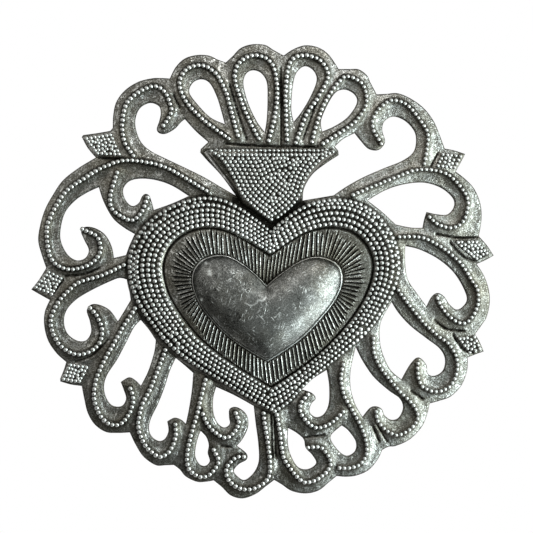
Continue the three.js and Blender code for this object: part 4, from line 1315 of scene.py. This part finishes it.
def patina_group():
    """Aged steel: dark in the recesses and where shade is painted, grey on the sheet, pale where hands and
    polish reached it and where highlights are painted, mottled, with worn spots and warm patches."""
    if "Aged patina" in bpy.data.node_groups:
        return bpy.data.node_groups["Aged patina"]
    inputs = {"Vector": (0, 0, 0), "Polish and shading": 0.5, "Mottle": 0.5, "Cloud": 0.6, "Warmth": 0.5, "Wear": 0.0,
              "Recess": (0, 0, 0, 1), "Sheet": (0.2, 0.2, 0.2, 1), "Bright": (0.7, 0.7, 0.7, 1)}
    tree, given, out = start_group("Aged patina", inputs, {"Colour": "Color", "Roughness": "Float"})
    where, polish_and_shading = given["Vector"], given["Polish and shading"]
    grain = calculate(tree, "MULTIPLY_ADD", noise(tree, where, 1900, 2, 0.6), 1.7, -0.85)
    clouds = calculate(tree, "SUBTRACT", noise(tree, where, 160, 4, 0.6), 0.5)
    clouds = calculate(tree, "MULTIPLY", clouds, given["Cloud"])
    mottle = calculate(tree, "MULTIPLY", calculate(tree, "ADD", grain, clouds), given["Mottle"])
    patch = noise(tree, where, 48, 3, 0.6)
    spots = remap(tree, noise(tree, where, 460, 3, 0.7), (0.56, 0.68))
    rubbed = remap(tree, patch, (0.62, 0.45), (0, given["Wear"]))
    reached = remap(tree, polish_and_shading, (0.44, 0.5))
    wear = calculate(tree, "MULTIPLY", calculate(tree, "MULTIPLY", spots, rubbed), reached)
    tone = calculate(tree, "ADD", calculate(tree, "ADD", polish_and_shading, mottle), wear)
    low = remap(tree, tone, (0.02, 0.5), curve="SMOOTHSTEP")
    high = remap(tree, tone, (0.45, 1.0), curve="SMOOTHSTEP")
    colour = blend(tree, low, given["Recess"], given["Sheet"])
    colour = blend(tree, high, colour, given["Bright"])
    warm = remap(tree, patch, (0.45, 0.7), (0, given["Warmth"]))
    colour = blend(tree, warm, colour, (0.84, 0.76, 0.6, 1), "MULTIPLY")
    feed(tree, out, {"Colour": colour, "Roughness": remap(tree, tone, (0, 1), (0.5, 0.24))})
    return tree


def hammer_group():
    """Shallow hammer marks and fine grain, as a height."""
    if "Hammer marks" in bpy.data.node_groups:
        return bpy.data.node_groups["Hammer marks"]
    tree, given, out = start_group("Hammer marks", {"Vector": (0, 0, 0), "Marks": 1.0}, {"Height": "Float"})
    where = given["Vector"]
    cells = {"Vector": where, "Scale": 420, "Smoothness": 0.7}
    dents = add_node(tree, "TexVoronoi", cells, feature="SMOOTH_F1").outputs["Distance"]
    dents = calculate(tree, "MULTIPLY", dents, 0.9)
    height = calculate(tree, "ADD", dents, noise(tree, where, 1700, 3, 0.6))
    feed(tree, out, {"Height": calculate(tree, "MULTIPLY", height, given["Marks"])})
    return tree


def scratch_group():
    """Fine scratches in three directions, each in its own patches, as a mask."""
    if "Fine scratches" in bpy.data.node_groups:
        return bpy.data.node_groups["Fine scratches"]
    tree, given, out = start_group("Fine scratches", {"Vector": (0, 0, 0), "Density": 0.6}, {"Mask": "Float"})
    where = given["Vector"]
    masks = []
    for turn, patches in ((0.3, 190), (-0.75, 230), (0.95, 260)):
        turned = add_node(tree, "Mapping", {"Vector": where, "Rotation": (0, turn, 0), "Scale": (1, 1, 9)},
                          vector_type="TEXTURE")
        line = remap(tree, noise(tree, turned.outputs[0], 2400, 1), (given["Density"], 0.72))
        patch = remap(tree, noise(tree, where, patches, 2), (0.5, 0.6))
        masks.append(calculate(tree, "MULTIPLY", line, patch))
    first = calculate(tree, "MAXIMUM", masks[0], masks[1])
    feed(tree, out, {"Mask": calculate(tree, "MAXIMUM", first, masks[2])})
    return tree


def aged(tree, where, polish_and_shading, sheet, **amounts):
    """Colour and roughness of aged steel on a sheet of this colour."""
    finish = bpy.context.scene.ornament_finish
    inputs = {"Vector": where, "Polish and shading": polish_and_shading, "Recess": finish.recess, "Sheet": sheet,
              "Bright": finish.bright, **amounts}
    steel = add_node(tree, "Group", inputs, node_tree=patina_group())
    return steel.outputs["Colour"], steel.outputs["Roughness"]


def hammered(tree, where, marks, strength, depth):
    """Normals of a hammered surface."""
    height = add_node(tree, "Group", {"Vector": where, "Marks": marks}, node_tree=hammer_group())
    return bump(tree, height.outputs["Height"], strength, depth)


def start_material(name):
    """A metal material, with what its nodes start from: object coordinates and the polish."""
    material = bpy.data.materials.new(name)
    material.use_nodes = True
    tree = material.node_tree
    tree.nodes.clear()
    shader = add_node(tree, "BsdfPrincipled", {"Metallic": 1.0})
    add_node(tree, "OutputMaterial", {"Surface": shader.outputs[0]})
    where = add_node(tree, "TexCoord").outputs["Object"]
    polish_and_shading = add_node(tree, "Attribute", attribute_name="polish_and_shading").outputs["Fac"]
    return material, tree, shader, where, polish_and_shading


def aged_steel(name, marks):
    """Hammered sheet with a dark patina, with fewer worn bright spots to the right as painted shade under the
    key lamp.
    """
    finish = bpy.context.scene.ornament_finish
    material, tree, shader, where, polish_and_shading = start_material(name)
    wear = from_left(tree, where, 0.95, 0.3)
    colour, roughness = aged(tree, where, polish_and_shading, finish.sheet, Mottle=0.75, Cloud=0.7, Wear=wear)
    normal = hammered(tree, where, marks, strength=0.8, depth=0.0002)
    feed(tree, shader, {"Base Color": colour, "Roughness": roughness, "Normal": normal})
    return material


def bead_steel(name, top, right_top):
    """Punched beads: polished tops, dulled to the right as painted shade under the key lamp, and dark feet.
    """
    finish = bpy.context.scene.ornament_finish
    material, tree, shader, where, polish_and_shading = start_material(name)
    worn = remap(tree, polish_and_shading, (0, 0.65), (0.06, from_left(tree, where, top, right_top)))
    colour, roughness = aged(tree, where, worn, finish.sheet, Mottle=0.4, Warmth=0.1)
    satin = calculate(tree, "MULTIPLY", roughness, 1.5)
    normal = hammered(tree, where, marks=0.4, strength=0.2, depth=0.0001)
    feed(tree, shader, {"Base Color": colour, "Roughness": satin, "Normal": normal})
    return material


def burnished_steel(name):
    """Smooth dome with scratches and a cloudy tarnish, whitish where its polish is highest: at the smear and
    at the painted glints.
    """
    finish = bpy.context.scene.ornament_finish
    material, tree, shader, where, polish_and_shading = start_material(name)
    colour, roughness = aged(tree, where, polish_and_shading, finish.dome, Mottle=0.8, Cloud=1.0)
    scratched = add_node(tree, "Group", {"Vector": where, "Density": 0.6}, node_tree=scratch_group())
    scratches = scratched.outputs["Mask"]
    feed(tree, shader, {
        "Base Color": blend(tree, scratches, colour, finish.bright),
        # The smear and the painted glints turn whitish and less metallic.
        "Metallic": remap(tree, polish_and_shading, (0.66, 0.92), (1.0, 0.3)),
        "Roughness": calculate(tree, "MULTIPLY", roughness, 1.12),
        "Normal": bump(tree, scratches, strength=0.4, depth=0.0001)})
    return material


def stage_material():
    """White to the camera and in reflections, plain white paint else; clear from behind and to lamps."""
    material = bpy.data.materials.new("Studio white")
    material.use_nodes = True
    tree = material.node_tree
    tree.nodes.clear()
    white = bpy.context.scene.ornament_finish.backdrop
    paint = add_node(tree, "BsdfDiffuse", {"Color": white}).outputs[0]
    glow = add_node(tree, "Emission", {"Color": white, "Strength": 1.0}).outputs[0]
    path = add_node(tree, "LightPath").outputs
    shown = calculate(tree, "MAXIMUM", path["Is Camera Ray"], path["Is Glossy Ray"])
    shown = calculate(tree, "MAXIMUM", shown, path["Is Transmission Ray"])
    front = add_node(tree, "MixShader", {0: shown, 1: paint, 2: glow}).outputs[0]
    clear = add_node(tree, "BsdfTransparent").outputs[0]
    behind = add_node(tree, "NewGeometry").outputs["Backfacing"]
    passed = calculate(tree, "MAXIMUM", behind, path["Is Shadow Ray"])
    surface = add_node(tree, "MixShader", {0: passed, 1: front, 2: clear}).outputs[0]
    add_node(tree, "OutputMaterial", {"Surface": surface})
    return material


# The stage.
def build_backdrop():
    """White wall and floor, and a dim room round them."""
    scene = bpy.context.scene
    scene.view_settings.view_transform = "Standard"
    world = bpy.data.worlds.new("Studio")
    world.use_nodes = True
    feed(world.node_tree, world.node_tree.nodes["Background"], {"Color": ROOM_LIGHT, "Strength": 1.0})
    scene.world = world
    material = stage_material()
    wall = Matrix.Translation((0, 0.06, 0)) @ Matrix.Rotation(math.radians(90), 4, "X") @ Matrix.Scale(1.5, 4)
    floor = Matrix.Translation((0, -0.04, -0.6)) @ Matrix.Diagonal((1, 0.1, 1, 1))
    for name, matrix in (("studio_wall", wall), ("studio_floor", floor)):
        bm = bmesh.new()
        bmesh.ops.create_grid(bm, x_segments=1, y_segments=1, size=1, matrix=matrix)
        mesh = bpy.data.meshes.new(name)
        bm.to_mesh(mesh)
        bm.free()
        mesh.materials.append(material)
        plane = bpy.data.objects.new(name, mesh)
        scene.collection.objects.link(plane)


def build_lamps():
    """Area lamps that face the ornament."""
    for name, (location, size, watts, colour) in LAMPS.items():
        light = bpy.data.lights.new(name, "AREA")
        light.shape = "RECTANGLE"
        light.size, light.size_y = size
        light.energy = watts
        light.color = colour
        lamp = bpy.data.objects.new(name, light)
        lamp.location = location
        lamp.rotation_euler = (-Vector(location)).to_track_quat("-Z", "Y").to_euler()
        bpy.context.scene.collection.objects.link(lamp)


def build_camera():
    """The view straight at the wall, with the whole pattern across its picture."""
    camera = bpy.data.cameras.new("camera")
    camera.sensor_width = VIEW_SENSOR
    camera.lens = VIEW_SENSOR * (VIEW_DISTANCE - MILLIMETRE) / (IMAGE_SQUARES * SQUARE * MILLIMETRE)
    camera.clip_start = VIEW_NEAREST
    view = bpy.data.objects.new("camera", camera)
    view.location = (VIEW_AXIS[0], -VIEW_DISTANCE, VIEW_AXIS[1])
    view.rotation_euler = (math.radians(90), 0, 0)
    bpy.context.scene.collection.objects.link(view)
    bpy.context.scene.camera = view


class ORNAMENT_OT_scroll_sheet(bpy.types.Operator):
    """Build the hammered scroll sheet with its pierced openings"""

    bl_idname = "ornament.scroll_sheet"
    bl_label = "Scroll Sheet"

    def execute(self, context):
        build_scroll_sheet()
        return {"FINISHED"}


class ORNAMENT_OT_scroll_beads(bpy.types.Operator):
    """Build the bead rows on the scrolls and flames"""

    bl_idname = "ornament.scroll_beads"
    bl_label = "Scroll Beads"

    def execute(self, context):
        build_scroll_beads()
        return {"FINISHED"}


class ORNAMENT_OT_leaf_beads(bpy.types.Operator):
    """Build the beads on the leaf tips"""

    bl_idname = "ornament.leaf_beads"
    bl_label = "Leaf Beads"

    def execute(self, context):
        build_leaf_beads()
        return {"FINISHED"}


class ORNAMENT_OT_heart_border(bpy.types.Operator):
    """Build the convex heart border and its bead rows"""

    bl_idname = "ornament.heart_border"
    bl_label = "Heart Border"

    def execute(self, context):
        build_border_band()
        build_border_beads()
        return {"FINISHED"}


class ORNAMENT_OT_ray_ring(bpy.types.Operator):
    """Build the ring of chased rays"""

    bl_idname = "ornament.ray_ring"
    bl_label = "Ray Ring"

    def execute(self, context):
        build_ray_ring()
        return {"FINISHED"}


class ORNAMENT_OT_heart_dome(bpy.types.Operator):
    """Build the burnished heart dome"""

    bl_idname = "ornament.heart_dome"
    bl_label = "Heart Dome"

    def execute(self, context):
        build_heart_dome()
        return {"FINISHED"}


class ORNAMENT_OT_crown_panel(bpy.types.Operator):
    """Build the crown panel and its field of beads"""

    bl_idname = "ornament.crown_panel"
    bl_label = "Crown Panel"

    def execute(self, context):
        build_crown_plate()
        build_crown_beads()
        return {"FINISHED"}


class ORNAMENT_OT_hanger(bpy.types.Operator):
    """Build the hanging strap and its wire ring"""

    bl_idname = "ornament.hanger"
    bl_label = "Hanger"

    def execute(self, context):
        build_hanger_strap()
        build_hanger_ring()
        return {"FINISHED"}


class ORNAMENT_OT_stage(bpy.types.Operator):
    """Build the studio wall and floor, the lamps and the camera"""

    bl_idname = "ornament.stage"
    bl_label = "Stage"

    def execute(self, context):
        build_backdrop()
        build_lamps()
        build_camera()
        return {"FINISHED"}


OPERATORS = (
    ORNAMENT_OT_stage,
    ORNAMENT_OT_scroll_sheet,
    ORNAMENT_OT_scroll_beads,
    ORNAMENT_OT_leaf_beads,
    ORNAMENT_OT_heart_border,
    ORNAMENT_OT_ray_ring,
    ORNAMENT_OT_heart_dome,
    ORNAMENT_OT_crown_panel,
    ORNAMENT_OT_hanger,
)


class ORNAMENT_PT_panel(bpy.types.Panel):
    """Lists the ornament's pieces"""

    bl_idname = "ORNAMENT_PT_panel"
    bl_label = "Metal Heart Ornament"
    bl_space_type = "VIEW_3D"
    bl_region_type = "UI"
    bl_category = "Ornament"

    def draw(self, context):
        for operator in OPERATORS:
            self.layout.operator(operator.bl_idname)
        for settings in (context.scene.ornament_sizes, context.scene.ornament_finish):
            box = self.layout.box()
            for name in settings.__annotations__:
                box.prop(settings, name)


CLASSES = (OrnamentSizes, OrnamentFinish) + OPERATORS + (ORNAMENT_PT_panel,)


def register():
    for item in CLASSES:
        bpy.utils.register_class(item)
    bpy.types.Scene.ornament_sizes = PointerProperty(type=OrnamentSizes)
    bpy.types.Scene.ornament_finish = PointerProperty(type=OrnamentFinish)


def unregister():
    del bpy.types.Scene.ornament_finish
    del bpy.types.Scene.ornament_sizes
    for item in reversed(CLASSES):
        bpy.utils.unregister_class(item)


def main():
    register()
    for operator in OPERATORS:
        group, name = operator.bl_idname.split(".")
        getattr(getattr(bpy.ops, group), name)()


if __name__ == "__main__":
    main()
